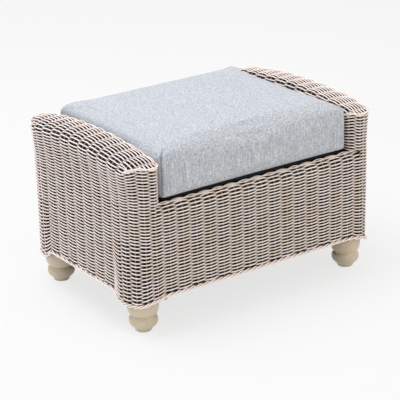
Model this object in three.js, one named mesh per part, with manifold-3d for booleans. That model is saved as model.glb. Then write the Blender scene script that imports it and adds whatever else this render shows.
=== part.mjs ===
// A woven cane footstool: a pole frame under a woven skin, two raised arms, four turned feet
// and a loose box cushion on a seat board.
// Millimetres. +X runs along the long side, -Y is the front, +Z is up.
// The origin is on the floor, under the middle of the stool.
import * as THREE from "three";
import { mergeVertices } from "three/addons/utils/BufferGeometryUtils.js";
import Module from "manifold-3d";

// Driving dimensions of the woven body
const BODY_WIDTH = 662; // over the weave, below the flare of the arms
const BODY_DEPTH = 465;
const WEAVE_BOTTOM = 88; // lower edge between the feet
const CORNER_DIP = 21; // the lower edge drops this much round each foot
const DIP_REACH = { full: 47, none: 66 }; // distances from a foot's axis where the drop ends and starts
const SEAT_EDGE_TOP = 298; // top of the woven front and back edges
const ARM_PEAK = 411; // top of each arm, halfway along it
const ARM_FALL = 20; // how much lower the arm's two ends are
const ARM_FLARE = 7; // the arm's outer side leans out this far at its top
const ARM_INNER_X = 253; // the face of the arm beside the cushion
const SKIN = 9; // a stake with a strand on each side of it
const BORDER_HEIGHT = 10; // rolled border along the lower edge
const BORDER_PROUD = 3;
const GAP = 0.3; // between pieces that touch
const POLE_CLEARANCE = 0.5; // between the weave and the poles inside it
const TOP_CLEARANCE = 1.6; // under the arms' curved tops, which only touch their walls in places

// Rounding of the arm's ends in plan: the outer corner and the inner one are both part ellipses
const OUTER_CORNER = { across: 53, along: 80 };
const CREST_X = BODY_WIDTH / 2 - OUTER_CORNER.across; // the foremost line of the arm's end
const INNER_CORNER = { across: CREST_X - ARM_INNER_X, along: 55 };
const SHOULDER_DROP = { side: 24, nose: 5 }; // how far the arm's top rounds down to its edge
const SHOULDER_START_Y = 180; // from here to the nose the rounding changes from one to the other
const SHOULDER_POWER = { outer: 2.5, inner: 4 }; // of the curve across the arm's top; 2 is an ellipse
const NOSE_ROUNDING = 22; // length of the rounding at the very end of the arm
const WRAP_ANGLE = 120; // how far the long faces bend round the seat rail

// Pole frame
const RAIL_RADIUS = 12;
const SEAT_RAIL_Y = BODY_DEPTH / 2 - SKIN - POLE_CLEARANCE - RAIL_RADIUS;
const SEAT_RAIL_Z = SEAT_EDGE_TOP - SKIN - POLE_CLEARANCE - RAIL_RADIUS;
const SIDE_RAIL_X = 267;
const LOW_RAIL_RADIUS = 10;
const LOW_RAIL_Z = 104;
const POST = { x: 293, y: 185, radius: 13 };
const HOOP = { radius: 9, outerX: 308, innerX: 274, halfLength: 166, below: 3 }; // below the weave
const PROP = { radius: 6, y: 70, outerFootX: 311.5, outerHeadX: 308, innerX: 270 };
const BRACE = { x: 110, z: SEAT_EDGE_TOP - 23, radius: 9 };

// Feet and what holds them
const FOOT = { x: 283, y: 173, top: 80 };
const FOOT_PROFILE = {
  pad: 18, // radius on the floor
  ring: [21.5, 8], // radius and height of the base ring under the ball
  ball: { centre: [15.5, 24.5], radius: 16.5, from: -52, to: 46 },
  neck: [26.5, 37], // radius and height
  belly: [34, 43],
  cup: [35, 58],
};
const BLOCK = { top: 122, innerX: 252, innerY: 147 };
const BOLT = { radius: 4, bottom: 44, top: 108, clearance: 0.4 };

// Seat board and its battens
const BOARD = { halfWidth: 249, halfDepth: 205, corner: 20, thickness: 5.6 };
const BATTEN = { halfLength: 245, width: 40, y: 120 };

// Cushion
const CUSHION = {
  halfWidth: 250,
  halfDepth: 214,
  bottom: SEAT_EDGE_TOP + GAP + BOARD.thickness + GAP,
  edgeTop: 407, // height of the top edge at the corners
  crown: 13, // rise of the middle above that edge
  crownSharpness: 0.4, // low values keep the top full out to its edges
  corner: 10, // plan radius of the vertical corners
  roll: 16, // radius of the soft edges
  drawnIn: 3, // how far each side pulls in between its corners
  coverThickness: 2,
};
const ZIP = { halfLength: 190, width: 7, z: 360 };

const MATERIALS = {
  cane: { color: 0xe0d3c3, roughness: 0.62, metalness: 0 },
  pole: { color: 0xb98f5c, roughness: 0.7, metalness: 0 },
  foot: { color: 0xd3c6ac, roughness: 0.45, metalness: 0 },
  block: { color: 0xc9ab7c, roughness: 0.8, metalness: 0 },
  steel: { color: 0xb4b6b8, roughness: 0.35, metalness: 1 },
  board: { color: 0x17171a, roughness: 0.9, metalness: 0 },
  fabric: { color: 0xc4cad1, roughness: 0.95, metalness: 0 },
  foam: { color: 0xefe9d6, roughness: 1, metalness: 0 },
  zip: { color: 0x9aa2ab, roughness: 0.5, metalness: 0 },
};

const wasm = await Module();
wasm.setup();

const stool = new THREE.Group();
const woodwork = new THREE.Group();
const weave = new THREE.Group();
const cushion = new THREE.Group();
stool.add(woodwork, weave, cushion);

const SIDES = { left: -1, right: 1 };
const ENDS = { front: -1, back: 1 };

function addPiece(group, name, geometry, look) {
  const mesh = new THREE.Mesh(geometry, new THREE.MeshStandardMaterial(MATERIALS[look]));
  mesh.name = name;
  group.add(mesh);
  return mesh;
}

// Mesh helpers

function signedVolume(geometry) {
  const [a, b, c] = [new THREE.Vector3(), new THREE.Vector3(), new THREE.Vector3()];
  const { position } = geometry.attributes;
  const { array } = geometry.index;
  let volume = 0;
  for (let i = 0; i < array.length; i += 3) {
    a.fromBufferAttribute(position, array[i]);
    b.fromBufferAttribute(position, array[i + 1]);
    c.fromBufferAttribute(position, array[i + 2]);
    volume += a.dot(b.cross(c)) / 6;
  }
  return volume;
}

// Builds a geometry from points and triangles, with its faces turned outwards.
function closedGeometry(points, triangles) {
  const geometry = new THREE.BufferGeometry().setFromPoints(points);
  geometry.setIndex(triangles);
  if (signedVolume(geometry) < 0) geometry.setIndex(triangles.slice().reverse());
  geometry.computeVertexNormals();
  return geometry;
}

// A sheet with a thickness: two grids of points, joined round their four edges.
function thickSheet(outer, inner) {
  const rows = outer.length;
  const columns = outer[0].length;
  const points = [...outer.flat(), ...inner.flat()];
  const front = (row, column) => row * columns + column;
  const back = (row, column) => rows * columns + front(row, column);
  const triangles = [];
  const quad = (a, b, c, d) => triangles.push(a, b, c, a, c, d);
  for (let r = 0; r + 1 < rows; r++) {
    for (let c = 0; c + 1 < columns; c++) {
      quad(front(r, c), front(r + 1, c), front(r + 1, c + 1), front(r, c + 1));
      quad(back(r, c), back(r, c + 1), back(r + 1, c + 1), back(r + 1, c));
    }
    quad(front(r, 0), back(r, 0), back(r + 1, 0), front(r + 1, 0));
    const last = columns - 1;
    quad(front(r, last), front(r + 1, last), back(r + 1, last), back(r, last));
  }
  for (let c = 0; c + 1 < columns; c++) {
    quad(front(0, c), front(0, c + 1), back(0, c + 1), back(0, c));
    const last = rows - 1;
    quad(front(last, c), back(last, c), back(last, c + 1), front(last, c + 1));
  }
  return closedGeometry(points, triangles);
}

// A row of matching rings joined into one body, each end closed by a fan round its middle.
function ringBody(rings) {
  const count = rings[0].length;
  const points = rings.flat();
  const triangles = [];
  for (let r = 0; r + 1 < rings.length; r++) {
    for (let i = 0; i < count; i++) {
      const a = r * count + i;
      const b = r * count + ((i + 1) % count);
      triangles.push(a, b, b + count, a, b + count, a + count);
    }
  }
  for (const last of [false, true]) {
    const start = last ? (rings.length - 1) * count : 0;
    const ring = points.slice(start, start + count);
    const middle = ring.reduce((sum, p) => sum.add(p), new THREE.Vector3()).divideScalar(count);
    points.push(middle);
    for (let i = 0; i < count; i++) {
      const a = start + i;
      const b = start + ((i + 1) % count);
      if (last) triangles.push(a, b, points.length - 1);
      else triangles.push(b, a, points.length - 1);
    }
  }
  return closedGeometry(points, triangles);
}

function toSolid(geometry) {
  const bare = geometry.clone();
  bare.deleteAttribute("normal");
  bare.deleteAttribute("uv");
  const merged = mergeVertices(bare, 1e-3);
  const vertProperties = new Float32Array(merged.attributes.position.array);
  const triVerts = new Uint32Array(merged.index.array);
  return new wasm.Manifold(new wasm.Mesh({ numProp: 3, vertProperties, triVerts }));
}

function fromSolid(solid) {
  const { vertProperties, triVerts } = solid.getMesh();
  const geometry = new THREE.BufferGeometry();
  geometry.setAttribute("position", new THREE.BufferAttribute(vertProperties, 3));
  geometry.setIndex(new THREE.BufferAttribute(triVerts, 1));
  geometry.computeVertexNormals();
  return geometry;
}

function boxAt(low, high) {
  const size = high.map((value, axis) => value - low[axis]);
  const middle = high.map((value, axis) => (value + low[axis]) / 2);
  return new THREE.BoxGeometry(...size).translate(...middle);
}

// An upright hole for a bolt.
function drilled(geometry, x, y, bottom, top) {
  const radius = BOLT.radius + BOLT.clearance;
  const hole = new THREE.CylinderGeometry(radius, radius, top - bottom, 12);
  hole.rotateX(Math.PI / 2).translate(x, y, (bottom + top) / 2);
  return fromSolid(toSolid(geometry).subtract(toSolid(hole)));
}

// A straight round pole between two points.
function addPole(name, from, to, radius, look = "pole", sides = 12) {
  const start = new THREE.Vector3(...from);
  const end = new THREE.Vector3(...to);
  const geometry = new THREE.CylinderGeometry(radius, radius, start.distanceTo(end), sides);
  const mesh = addPiece(woodwork, name, geometry, look);
  mesh.position.copy(start).lerp(end, 0.5);
  mesh.quaternion.setFromUnitVectors(new THREE.Vector3(0, 1, 0), end.sub(start).normalize());
  return mesh;
}

// Shape of the woven body

function archTop(y) {
  return ARM_PEAK - ARM_FALL * (y / (BODY_DEPTH / 2)) ** 2;
}

// How far below the arch the edge of the arm's top lies.
function shoulderDrop(y) {
  const blend = THREE.MathUtils.smoothstep(Math.abs(y), SHOULDER_START_Y, BODY_DEPTH / 2);
  return THREE.MathUtils.lerp(SHOULDER_DROP.side, SHOULDER_DROP.nose, blend);
}

// Underside of the arm's woven top at its edge.
function topUnderside(y) {
  return archTop(y) - Math.max(shoulderDrop(y), SKIN);
}

// Top of the walls that carry the arm's woven top.
function wallTop(y) {
  return topUnderside(y) - TOP_CLEARANCE;
}

// How far the arm's outer side leans out at a height, fading to nothing at the arm's crest line.
function flare(x, z) {
  const rise = THREE.MathUtils.smoothstep(z, SEAT_EDGE_TOP, ARM_PEAK - ARM_FALL);
  const share = THREE.MathUtils.clamp((Math.abs(x) - CREST_X) / OUTER_CORNER.across, 0, 1);
  return Math.sign(x) * ARM_FLARE * rise * share;
}

// Lower edge of the weave, by the distance from the nearest foot.
function weaveBottom(x, y) {
  const distance = Math.hypot(Math.abs(x) - FOOT.x, Math.abs(y) - FOOT.y);
  const away = THREE.MathUtils.smoothstep(distance, DIP_REACH.full, DIP_REACH.none);
  return WEAVE_BOTTOM - CORNER_DIP * (1 - away);
}

// A point on a rounded corner, with its outward direction; turn runs from the side (0) to the end (90).
function cornerStation(side, end, corner, direction, turn) {
  const angle = THREE.MathUtils.degToRad(turn);
  const x = CREST_X + direction * corner.across * Math.cos(angle);
  const y = BODY_DEPTH / 2 - corner.along * (1 - Math.sin(angle));
  const normal = new THREE.Vector2(
    (direction * Math.cos(angle)) / corner.across,
    Math.sin(angle) / corner.along,
  ).normalize();
  return { x: side * x, y: end * y, nx: side * normal.x, ny: end * normal.y };
}

// A point of a wall at a height, moved outwards by a distance.
function wallPoint(station, z, out) {
  const x = station.x + station.nx * out;
  return new THREE.Vector3(x + flare(station.x, z), station.y + station.ny * out, z);
}

// Heights up the rolled border at the foot of an outer wall.
function borderLevels(bottom) {
  return [
    { z: bottom, out: 0 },
    { z: bottom + 2, out: BORDER_PROUD },
    { z: bottom + BORDER_HEIGHT - 2, out: BORDER_PROUD },
    { z: bottom + BORDER_HEIGHT, out: 0 },
  ];
}

// Heights up an outer wall of an arm.
function outerLevels(station) {
  const top = wallTop(station.y);
  const lean = [0, 0.33, 0.66, 1].map((part) => THREE.MathUtils.lerp(SEAT_EDGE_TOP, top, part));
  const border = borderLevels(weaveBottom(station.x, station.y));
  return [...border, ...lean.map((z) => ({ z, out: 0 }))];
}

// Heights up the arm's inner wall, which stands on the side rail and over the woven end edges.
function innerLevels(station) {
  const overEdge = Math.abs(station.y) > SEAT_RAIL_Y - RAIL_RADIUS - SKIN - 2;
  const bottom = overEdge ? SEAT_EDGE_TOP + GAP : SEAT_RAIL_Z + RAIL_RADIUS + GAP;
  return [
    { z: bottom, out: 0 },
    { z: wallTop(station.y), out: 0 },
  ];
}

function addWall(name, stations, levelsAt) {
  const outer = stations.map((s) => levelsAt(s).map(({ z, out }) => wallPoint(s, z, out)));
  const inner = stations.map((s) => levelsAt(s).map(({ z }) => wallPoint(s, z, -SKIN)));
  addPiece(weave, name, thickSheet(outer, inner), "cane");
}

function steps(from, to, count) {
  return Array.from({ length: count + 1 }, (_, i) => THREE.MathUtils.lerp(from, to, i / count));
}

// Woven skin of one long side of the seat: up the face, over the seat rail and down behind it.
function addSeatFace(name, end) {
  const dip = [200, 254, 262, 270, CREST_X - GAP]; // stations along the dip of the lower edge
  const lengthways = [...dip.map((x) => -x).reverse(), ...dip];
  const turns = steps(0, WRAP_ANGLE, 6).map((turn) => THREE.MathUtils.degToRad(turn));
  const over = (x, radius) =>
    turns.map((turn) => {
      const y = SEAT_RAIL_Y + radius * Math.cos(turn);
      return new THREE.Vector3(x, end * y, SEAT_RAIL_Z + radius * Math.sin(turn));
    });
  const grid = (out, bend) =>
    lengthways.map((x) => {
      const low = borderLevels(weaveBottom(x, BODY_DEPTH / 2)).map((level) => {
        const proud = out === 0 ? level.out : out;
        return new THREE.Vector3(x, end * (BODY_DEPTH / 2 + proud), level.z);
      });
      return [...low, ...over(x, bend)];
    });
  const bend = RAIL_RADIUS + POLE_CLEARANCE;
  addPiece(weave, name, thickSheet(grid(0, bend + SKIN), grid(-SKIN, bend)), "cane");
}

// The woven top of an arm: it follows the arch, rounds down to its edge and ends in two noses.
function addArmTop(name, side) {
  const reach = BODY_DEPTH / 2;
  const nose = [0.5, 3, 8, 15, 22, 30, 40, 52, 66, 80].map((back) => reach - back); // closest at the tip
  const lengthways = [...nose.map((y) => -y), ...steps(-110, 110, 4), ...nose.slice().reverse()];
  const across = [-1, -0.96, -0.85, -0.6, 0, 0.35, 0.6, 0.8, 0.92, 0.98, 1]; // inner to outer edge
  const widthAt = (y, corner) => {
    const into = Math.max(0, Math.abs(y) - (reach - corner.along)) / corner.along;
    return corner.across * Math.sqrt(1 - into * into);
  };
  const { side: sideDrop, nose: noseDrop } = SHOULDER_DROP;
  const grid = (outer) =>
    lengthways.map((y) =>
      across.map((part) => {
        const corner = part < 0 ? INNER_CORNER : OUTER_CORNER;
        const power = part < 0 ? SHOULDER_POWER.inner : SHOULDER_POWER.outer;
        const drop = shoulderDrop(y);
        const inset = outer ? 0 : (SKIN * (drop - noseDrop)) / (sideDrop - noseDrop);
        const x = side * (CREST_X + part * Math.max(0, widthAt(y, corner) - inset));
        const rounding = 1 - (1 - Math.abs(part) ** power) ** (1 / power);
        const endRounding = THREE.MathUtils.smoothstep(Math.abs(y), reach - NOSE_ROUNDING, reach);
        const share = Math.max(rounding, endRounding);
        const low = outer ? drop * share : SKIN + Math.max(0, drop - SKIN) * share;
        const z = archTop(y) - low;
        return new THREE.Vector3(x + flare(x, z), y, z);
      }),
    );
  addPiece(weave, name, thickSheet(grid(true), grid(false)), "cane");
}

function addWeave() {
  const sideLimit = BODY_DEPTH / 2 - OUTER_CORNER.along - GAP;
  for (const [end, endSign] of Object.entries(ENDS)) addSeatFace(`weave_${end}`, endSign);
  for (const [side, sideSign] of Object.entries(SIDES)) {
    const dip = [64, 128, 136, 144, sideLimit]; // stations along the dip of the lower edge
    const flat = [...dip.map((y) => -y).reverse(), 0, ...dip].map((y) => ({
      x: (sideSign * BODY_WIDTH) / 2,
      y,
      nx: sideSign,
      ny: 0,
    }));
    addWall(`weave_${side}`, flat, outerLevels);
    for (const [end, endSign] of Object.entries(ENDS)) {
      const turns = steps(0, 90, 9);
      const corner = turns.map((t) => cornerStation(sideSign, endSign, OUTER_CORNER, 1, t));
      addWall(`weave_corner_${end}_${side}`, corner, outerLevels);
    }
    const noseTurns = [89, 74, 60, 47, 35, 22, 0];
    const toStation = (end) => (t) => cornerStation(sideSign, end, INNER_CORNER, -1, t);
    const frontNose = noseTurns.map(toStation(-1));
    const backNose = noseTurns.slice().reverse().map(toStation(1));
    const middle = [-150, -75, 0, 75, 150].map((y) => ({
      x: sideSign * ARM_INNER_X,
      y,
      nx: -sideSign,
      ny: 0,
    }));
    addWall(`weave_arm_inner_${side}`, [...frontNose, ...middle, ...backNose], innerLevels);
    addArmTop(`weave_arm_top_${side}`, sideSign);
  }
}

// Pole frame

function addFrame() {
  const railEnd = SEAT_RAIL_Y - RAIL_RADIUS - GAP;
  const lowX = BODY_WIDTH / 2 - SKIN - POLE_CLEARANCE - LOW_RAIL_RADIUS;
  const lowY = BODY_DEPTH / 2 - SKIN - POLE_CLEARANCE - LOW_RAIL_RADIUS;
  const halfSeatRail = CREST_X - 2;
  for (const [end, e] of Object.entries(ENDS)) {
    const seatRail = (x) => [x, e * SEAT_RAIL_Y, SEAT_RAIL_Z];
    addPole(`seat_rail_${end}`, seatRail(-halfSeatRail), seatRail(halfSeatRail), RAIL_RADIUS);
    const lowRail = (x) => [x, e * lowY, LOW_RAIL_Z];
    const halfLowRail = BLOCK.innerX - GAP;
    addPole(`low_rail_${end}`, lowRail(-halfLowRail), lowRail(halfLowRail), LOW_RAIL_RADIUS);
  }
  for (const [side, s] of Object.entries(SIDES)) {
    const seatRail = (y) => [s * SIDE_RAIL_X, y, SEAT_RAIL_Z];
    addPole(`seat_rail_${side}`, seatRail(-railEnd), seatRail(railEnd), RAIL_RADIUS);
    const lowRail = (y) => [s * lowX, y, LOW_RAIL_Z];
    const halfLowRail = BLOCK.innerY - GAP;
    addPole(`low_rail_${side}`, lowRail(-halfLowRail), lowRail(halfLowRail), LOW_RAIL_RADIUS);
    const brace = (y) => [s * BRACE.x, y, BRACE.z];
    addPole(`seat_brace_${side}`, brace(-railEnd), brace(railEnd), BRACE.radius);
    addArmHoop(`arm_hoop_outer_${side}`, s * HOOP.outerX);
    addArmHoop(`arm_hoop_inner_${side}`, s * HOOP.innerX);
    for (const [end, e] of Object.entries(ENDS)) {
      addPost(`corner_post_${end}_${side}`, s, e);
      addProps(`${end}_${side}`, s, e);
    }
  }
}

// A bent pole under the arm's woven top.
function addArmHoop(name, x) {
  const below = SKIN + HOOP.below + HOOP.radius;
  const points = steps(-HOOP.halfLength, HOOP.halfLength, 6).map(
    (y) => new THREE.Vector3(x, y, archTop(y) - below),
  );
  const round = new THREE.Shape().absarc(0, 0, HOOP.radius, 0, 2 * Math.PI);
  const geometry = new THREE.ExtrudeGeometry(round, {
    extrudePath: new THREE.CatmullRomCurve3(points),
    steps: 10,
    curveSegments: 5,
    bevelEnabled: false,
  });
  addPiece(woodwork, name, geometry, "pole");
}

function addPost(name, s, e) {
  const top = wallTop(POST.y) - 1;
  const foot = [s * POST.x, e * POST.y, BLOCK.top + GAP];
  addPole(name, foot, [s * POST.x, e * POST.y, top], POST.radius);
}

// Upright sticks that carry the two hoops of an arm.
function addProps(place, s, e) {
  const y = e * PROP.y;
  const head = archTop(y) - SKIN - HOOP.below - 2 * HOOP.radius - 1;
  const outerFoot = [s * PROP.outerFootX, y, LOW_RAIL_Z + LOW_RAIL_RADIUS + GAP];
  addPole(`arm_prop_outer_${place}`, outerFoot, [s * PROP.outerHeadX, y, head], PROP.radius);
  const innerFoot = [s * PROP.innerX, y, SEAT_RAIL_Z + RAIL_RADIUS + GAP];
  addPole(`arm_prop_inner_${place}`, innerFoot, [s * PROP.innerX, y, head], PROP.radius);
}

// Feet, corner blocks and bolts

function footGeometry() {
  const { pad, ring, ball, neck, belly, cup } = FOOT_PROFILE;
  const profile = new THREE.Path();
  profile.moveTo(0, 0);
  profile.lineTo(pad, 0);
  profile.lineTo(...ring);
  const [ballStart, ballEnd] = [ball.from, ball.to].map((turn) => THREE.MathUtils.degToRad(turn));
  profile.absarc(...ball.centre, ball.radius, ballStart, ballEnd, false);
  profile.lineTo(...neck);
  profile.quadraticCurveTo(...belly, ...cup);
  profile.lineTo(cup[0], FOOT.top);
  profile.lineTo(0, FOOT.top);
  const lathe = new THREE.LatheGeometry(profile.getPoints(3), 20);
  return lathe.rotateX(Math.PI / 2);
}

function addFoot(place, s, e) {
  const turned = footGeometry().translate(s * FOOT.x, e * FOOT.y, 0);
  const foot = drilled(turned, s * FOOT.x, e * FOOT.y, BOLT.bottom - 1, FOOT.top + 1);
  addPiece(woodwork, `foot_${place}`, foot, "foot");

  const clear = SKIN + POLE_CLEARANCE;
  const outline = steps(0, 90, 7).map((turn) => {
    const station = cornerStation(s, e, OUTER_CORNER, 1, turn);
    return new THREE.Vector2(station.x - station.nx * clear, station.y - station.ny * clear);
  });
  outline.push(new THREE.Vector2(s * BLOCK.innerX, e * (BODY_DEPTH / 2 - clear)));
  outline.push(new THREE.Vector2(s * BLOCK.innerX, e * BLOCK.innerY));
  outline.push(new THREE.Vector2(s * (BODY_WIDTH / 2 - clear), e * BLOCK.innerY));
  const blockBottom = FOOT.top + GAP;
  const block = new THREE.ExtrudeGeometry(new THREE.Shape(outline), {
    depth: BLOCK.top - blockBottom,
    bevelEnabled: false,
  });
  block.translate(0, 0, blockBottom);
  const boredBlock = drilled(block, s * FOOT.x, e * FOOT.y, blockBottom - 1, BOLT.top + 1);
  addPiece(woodwork, `corner_block_${place}`, boredBlock, "block");

  const bolt = (z) => [s * FOOT.x, e * FOOT.y, z];
  addPole(`foot_bolt_${place}`, bolt(BOLT.bottom), bolt(BOLT.top), BOLT.radius, "steel");
}

// Seat board on its two battens

function addBoard() {
  const { halfWidth, halfDepth, corner, thickness } = BOARD;
  const outline = new THREE.Shape();
  outline.absarc(halfWidth - corner, halfDepth - corner, corner, 0, Math.PI / 2);
  outline.absarc(corner - halfWidth, halfDepth - corner, corner, Math.PI / 2, Math.PI);
  outline.absarc(corner - halfWidth, corner - halfDepth, corner, Math.PI, 1.5 * Math.PI);
  outline.absarc(halfWidth - corner, corner - halfDepth, corner, 1.5 * Math.PI, 2 * Math.PI);
  const board = new THREE.ExtrudeGeometry(outline, {
    depth: thickness,
    bevelEnabled: false,
    curveSegments: 6,
  });
  addPiece(woodwork, "seat_board", board, "board").position.z = SEAT_EDGE_TOP + GAP;
  const bottom = BRACE.z + BRACE.radius + GAP;
  const height = SEAT_EDGE_TOP - bottom;
  for (const [end, e] of Object.entries(ENDS)) {
    const batten = new THREE.BoxGeometry(2 * BATTEN.halfLength, BATTEN.width, height);
    const mesh = addPiece(woodwork, `board_batten_${end}`, batten, "block");
    mesh.position.set(0, e * BATTEN.y, bottom + height / 2);
  }
}

// Cushion: a box cushion with a crowned top, soft edges and sides drawn in between the corners

// The cushion's outline in plan at full size: a rounded rectangle whose sides pull in.
function cushionOutline() {
  const { halfWidth, halfDepth, corner, drawnIn } = CUSHION;
  const outline = new THREE.Path();
  const [x, y] = [halfWidth - corner, halfDepth - corner];
  outline.moveTo(x, -halfDepth);
  outline.absarc(x, -y, corner, -Math.PI / 2, 0);
  outline.quadraticCurveTo(halfWidth - 2 * drawnIn, 0, halfWidth, y);
  outline.absarc(x, y, corner, 0, Math.PI / 2);
  outline.quadraticCurveTo(0, halfDepth - 2 * drawnIn, -x, halfDepth);
  outline.absarc(-x, y, corner, Math.PI / 2, Math.PI);
  outline.quadraticCurveTo(2 * drawnIn - halfWidth, 0, -halfWidth, -y);
  outline.absarc(-x, -y, corner, Math.PI, 1.5 * Math.PI);
  outline.quadraticCurveTo(0, 2 * drawnIn - halfDepth, x, -halfDepth);
  const points = outline.getPoints(3);
  return points.filter((p, i) => p.distanceTo(points[(i + 1) % points.length]) > 0.01);
}

function crownAt(x, y) {
  const { halfWidth, halfDepth, crown, crownSharpness } = CUSHION;
  const across = Math.max(0, 1 - (x / halfWidth) ** 2);
  const along = Math.max(0, 1 - (y / halfDepth) ** 2);
  return crown * (across * along) ** crownSharpness;
}

// The cushion shape, smaller by inset all round.
function cushionShape(inset) {
  const { halfWidth, halfDepth, bottom, edgeTop, roll } = CUSHION;
  const outline = cushionOutline();
  const ring = (shrink, zAt) =>
    outline.map(({ x, y }) => {
      const px = x * (1 - (shrink + inset) / halfWidth);
      const py = y * (1 - (shrink + inset) / halfDepth);
      return new THREE.Vector3(px, py, zAt(px, py));
    });
  const low = bottom + inset;
  const high = edgeTop - inset;
  const turned = (degrees) => THREE.MathUtils.degToRad(degrees);
  const rings = [];
  for (const turn of [90, 55, 25]) {
    const rise = (roll / 2) * (1 - Math.sin(turned(turn)));
    rings.push(ring((roll / 2) * (1 - Math.cos(turned(turn))), () => low + rise));
  }
  for (const part of [0.25, 0.55]) rings.push(ring(0, () => THREE.MathUtils.lerp(low, high, part)));
  for (const turn of [0, 30, 60]) {
    const rise = roll * (Math.sin(turned(turn)) - 1);
    const shrink = roll * (1 - Math.cos(turned(turn)));
    rings.push(ring(shrink, (x, y) => high + rise + crownAt(x, y) * Math.sin(turned(turn))));
  }
  const fold = [roll, 2.2 * roll, 5 * roll, 9 * roll];
  for (const shrink of fold) rings.push(ring(shrink, (x, y) => high + crownAt(x, y)));
  return ringBody(rings);
}

function addCushion() {
  const { halfDepth, coverThickness } = CUSHION;
  const outer = toSolid(cushionShape(0));
  const inner = toSolid(cushionShape(coverThickness));
  const wall = outer.subtract(inner);
  const slot = (trim) => {
    const [length, half] = [ZIP.halfLength - trim, ZIP.width / 2 - trim];
    const low = [-length, halfDepth - 20, ZIP.z - half];
    const high = [length, halfDepth + 20, ZIP.z + half];
    return toSolid(boxAt(low, high));
  };
  addPiece(cushion, "cushion_cover", fromSolid(wall.subtract(slot(0))), "fabric");
  addPiece(cushion, "cushion_zip", fromSolid(wall.intersect(slot(GAP))), "zip");
  addPiece(cushion, "cushion_foam", cushionShape(coverThickness + GAP), "foam");
}

for (const [side, s] of Object.entries(SIDES)) {
  for (const [end, e] of Object.entries(ENDS)) addFoot(`${end}_${side}`, s, e);
}
addFrame();
addBoard();
addWeave();
addCushion();

export default stool;
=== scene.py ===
"""Looks of a woven cane footstool: strand-by-strand weave, turned feet and a box cushion.

All sizes are in metres, in the frame of the CAD part. +X runs along the long side, -Y is the
front, +Z is up, and the origin is on the floor under the middle of the stool.
"""

from __future__ import annotations

import logging
import math
import random
from collections.abc import Callable
from dataclasses import dataclass, field
from enum import Enum

import bpy
import numpy as np
from mathutils import Matrix, Vector


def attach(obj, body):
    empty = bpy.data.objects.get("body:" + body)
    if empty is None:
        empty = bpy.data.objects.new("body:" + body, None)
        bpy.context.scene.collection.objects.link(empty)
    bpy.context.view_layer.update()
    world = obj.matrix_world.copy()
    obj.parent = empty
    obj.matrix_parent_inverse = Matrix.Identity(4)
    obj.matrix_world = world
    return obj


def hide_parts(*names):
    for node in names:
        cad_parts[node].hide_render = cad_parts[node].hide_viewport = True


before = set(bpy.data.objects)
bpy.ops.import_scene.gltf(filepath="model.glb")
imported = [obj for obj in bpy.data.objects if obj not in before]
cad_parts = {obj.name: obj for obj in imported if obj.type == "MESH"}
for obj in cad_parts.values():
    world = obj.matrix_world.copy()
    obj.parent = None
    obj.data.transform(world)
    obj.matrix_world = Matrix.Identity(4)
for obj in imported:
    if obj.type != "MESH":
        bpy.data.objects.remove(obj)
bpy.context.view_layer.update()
LOG = logging.getLogger("footstool")
SAMPLES_PER_COLUMN = 6  # points of a weaver between two stakes
ROW_SEED = 11000  # a row's random draws start from this plus its number
NOISE_BAND = (0.3, 0.7)  # nearly all of a noise lies between these values


class Direction(Enum):
    """A direction from the stool's middle."""

    @property
    def word(self) -> str:
        """Its name, as the names of pieces have it."""
        return self.name.lower()


class Side(Direction):
    """The two ends of the long side, by the sign of X."""

    LEFT = -1
    RIGHT = 1


class End(Direction):
    """The front and the back, by the sign of Y."""

    FRONT = -1
    BACK = 1


# Small tools


def linear(hex_colour: str) -> tuple[float, float, float, float]:
    """Turns an sRGB hex colour into linear light.

    Args:
        hex_colour: a colour such as "#E8DDD0".

    Returns:
        Red, green, blue and an alpha of 1.
    """
    parts = [int(hex_colour[i : i + 2], 16) / 255 for i in (1, 3, 5)]
    red, green, blue = (p / 12.92 if p <= 0.04045 else ((p + 0.055) / 1.055) ** 2.4 for p in parts)
    return red, green, blue, 1.0


def feed(tree: bpy.types.NodeTree, node: bpy.types.Node, inputs: dict) -> None:
    """Sets or links a node's inputs.

    Args:
        tree: the shader or geometry tree.
        node: the node.
        inputs: socket name or index to a value, or to another node's output to link.
    """
    for key, value in inputs.items():
        if isinstance(value, bpy.types.NodeSocket):
            tree.links.new(value, node.inputs[key])
        else:
            node.inputs[key].default_value = value


def add_node(
    tree: bpy.types.NodeTree, kind: str, inputs: dict | None = None, **settings: str
) -> bpy.types.Node:
    """Adds a node with its settings and links.

    Args:
        tree: the shader or geometry tree.
        kind: Blender's name of the node type.
        inputs: what it is fed with.
        **settings: the node's own properties.

    Returns:
        The new node.
    """
    node = tree.nodes.new(kind)
    for name, value in settings.items():
        setattr(node, name, value)
    feed(tree, node, inputs or {})
    return node


def smoothstep(value: np.ndarray | float, low: float, high: float) -> np.ndarray | float:
    """Eases from 0 at low to 1 at high."""
    t = np.clip((value - low) / (high - low), 0.0, 1.0)
    return t * t * (3 - 2 * t)


def as_points(x: np.ndarray | float, y: np.ndarray | float, z: np.ndarray | float) -> np.ndarray:
    """Sets coordinates side by side as rows of x, y and z; a single number counts for every row."""
    return np.stack(np.broadcast_arrays(x, y, z), axis=1)


def crowded(count: int) -> np.ndarray:
    """Numbers from -1 to 1 that stand closer together towards both ends."""
    return np.sin(np.linspace(-math.pi / 2, math.pi / 2, count))


def ring_faces(rings: int, count: int) -> list[tuple[int, ...]]:
    """Faces of a closed body made of rings of points, one after the other.

    Args:
        rings: number of rings.
        count: number of points in each ring.

    Returns:
        The four-sided faces between the rings, then the first and the last end.
    """
    faces = []
    for first in range(0, (rings - 1) * count, count):
        for here in range(count):
            after = (here + 1) % count
            faces.append((first + here, first + after, first + count + after, first + count + here))
    faces.append(tuple(reversed(range(count))))
    faces.append(tuple(range((rings - 1) * count, rings * count)))
    return faces


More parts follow.
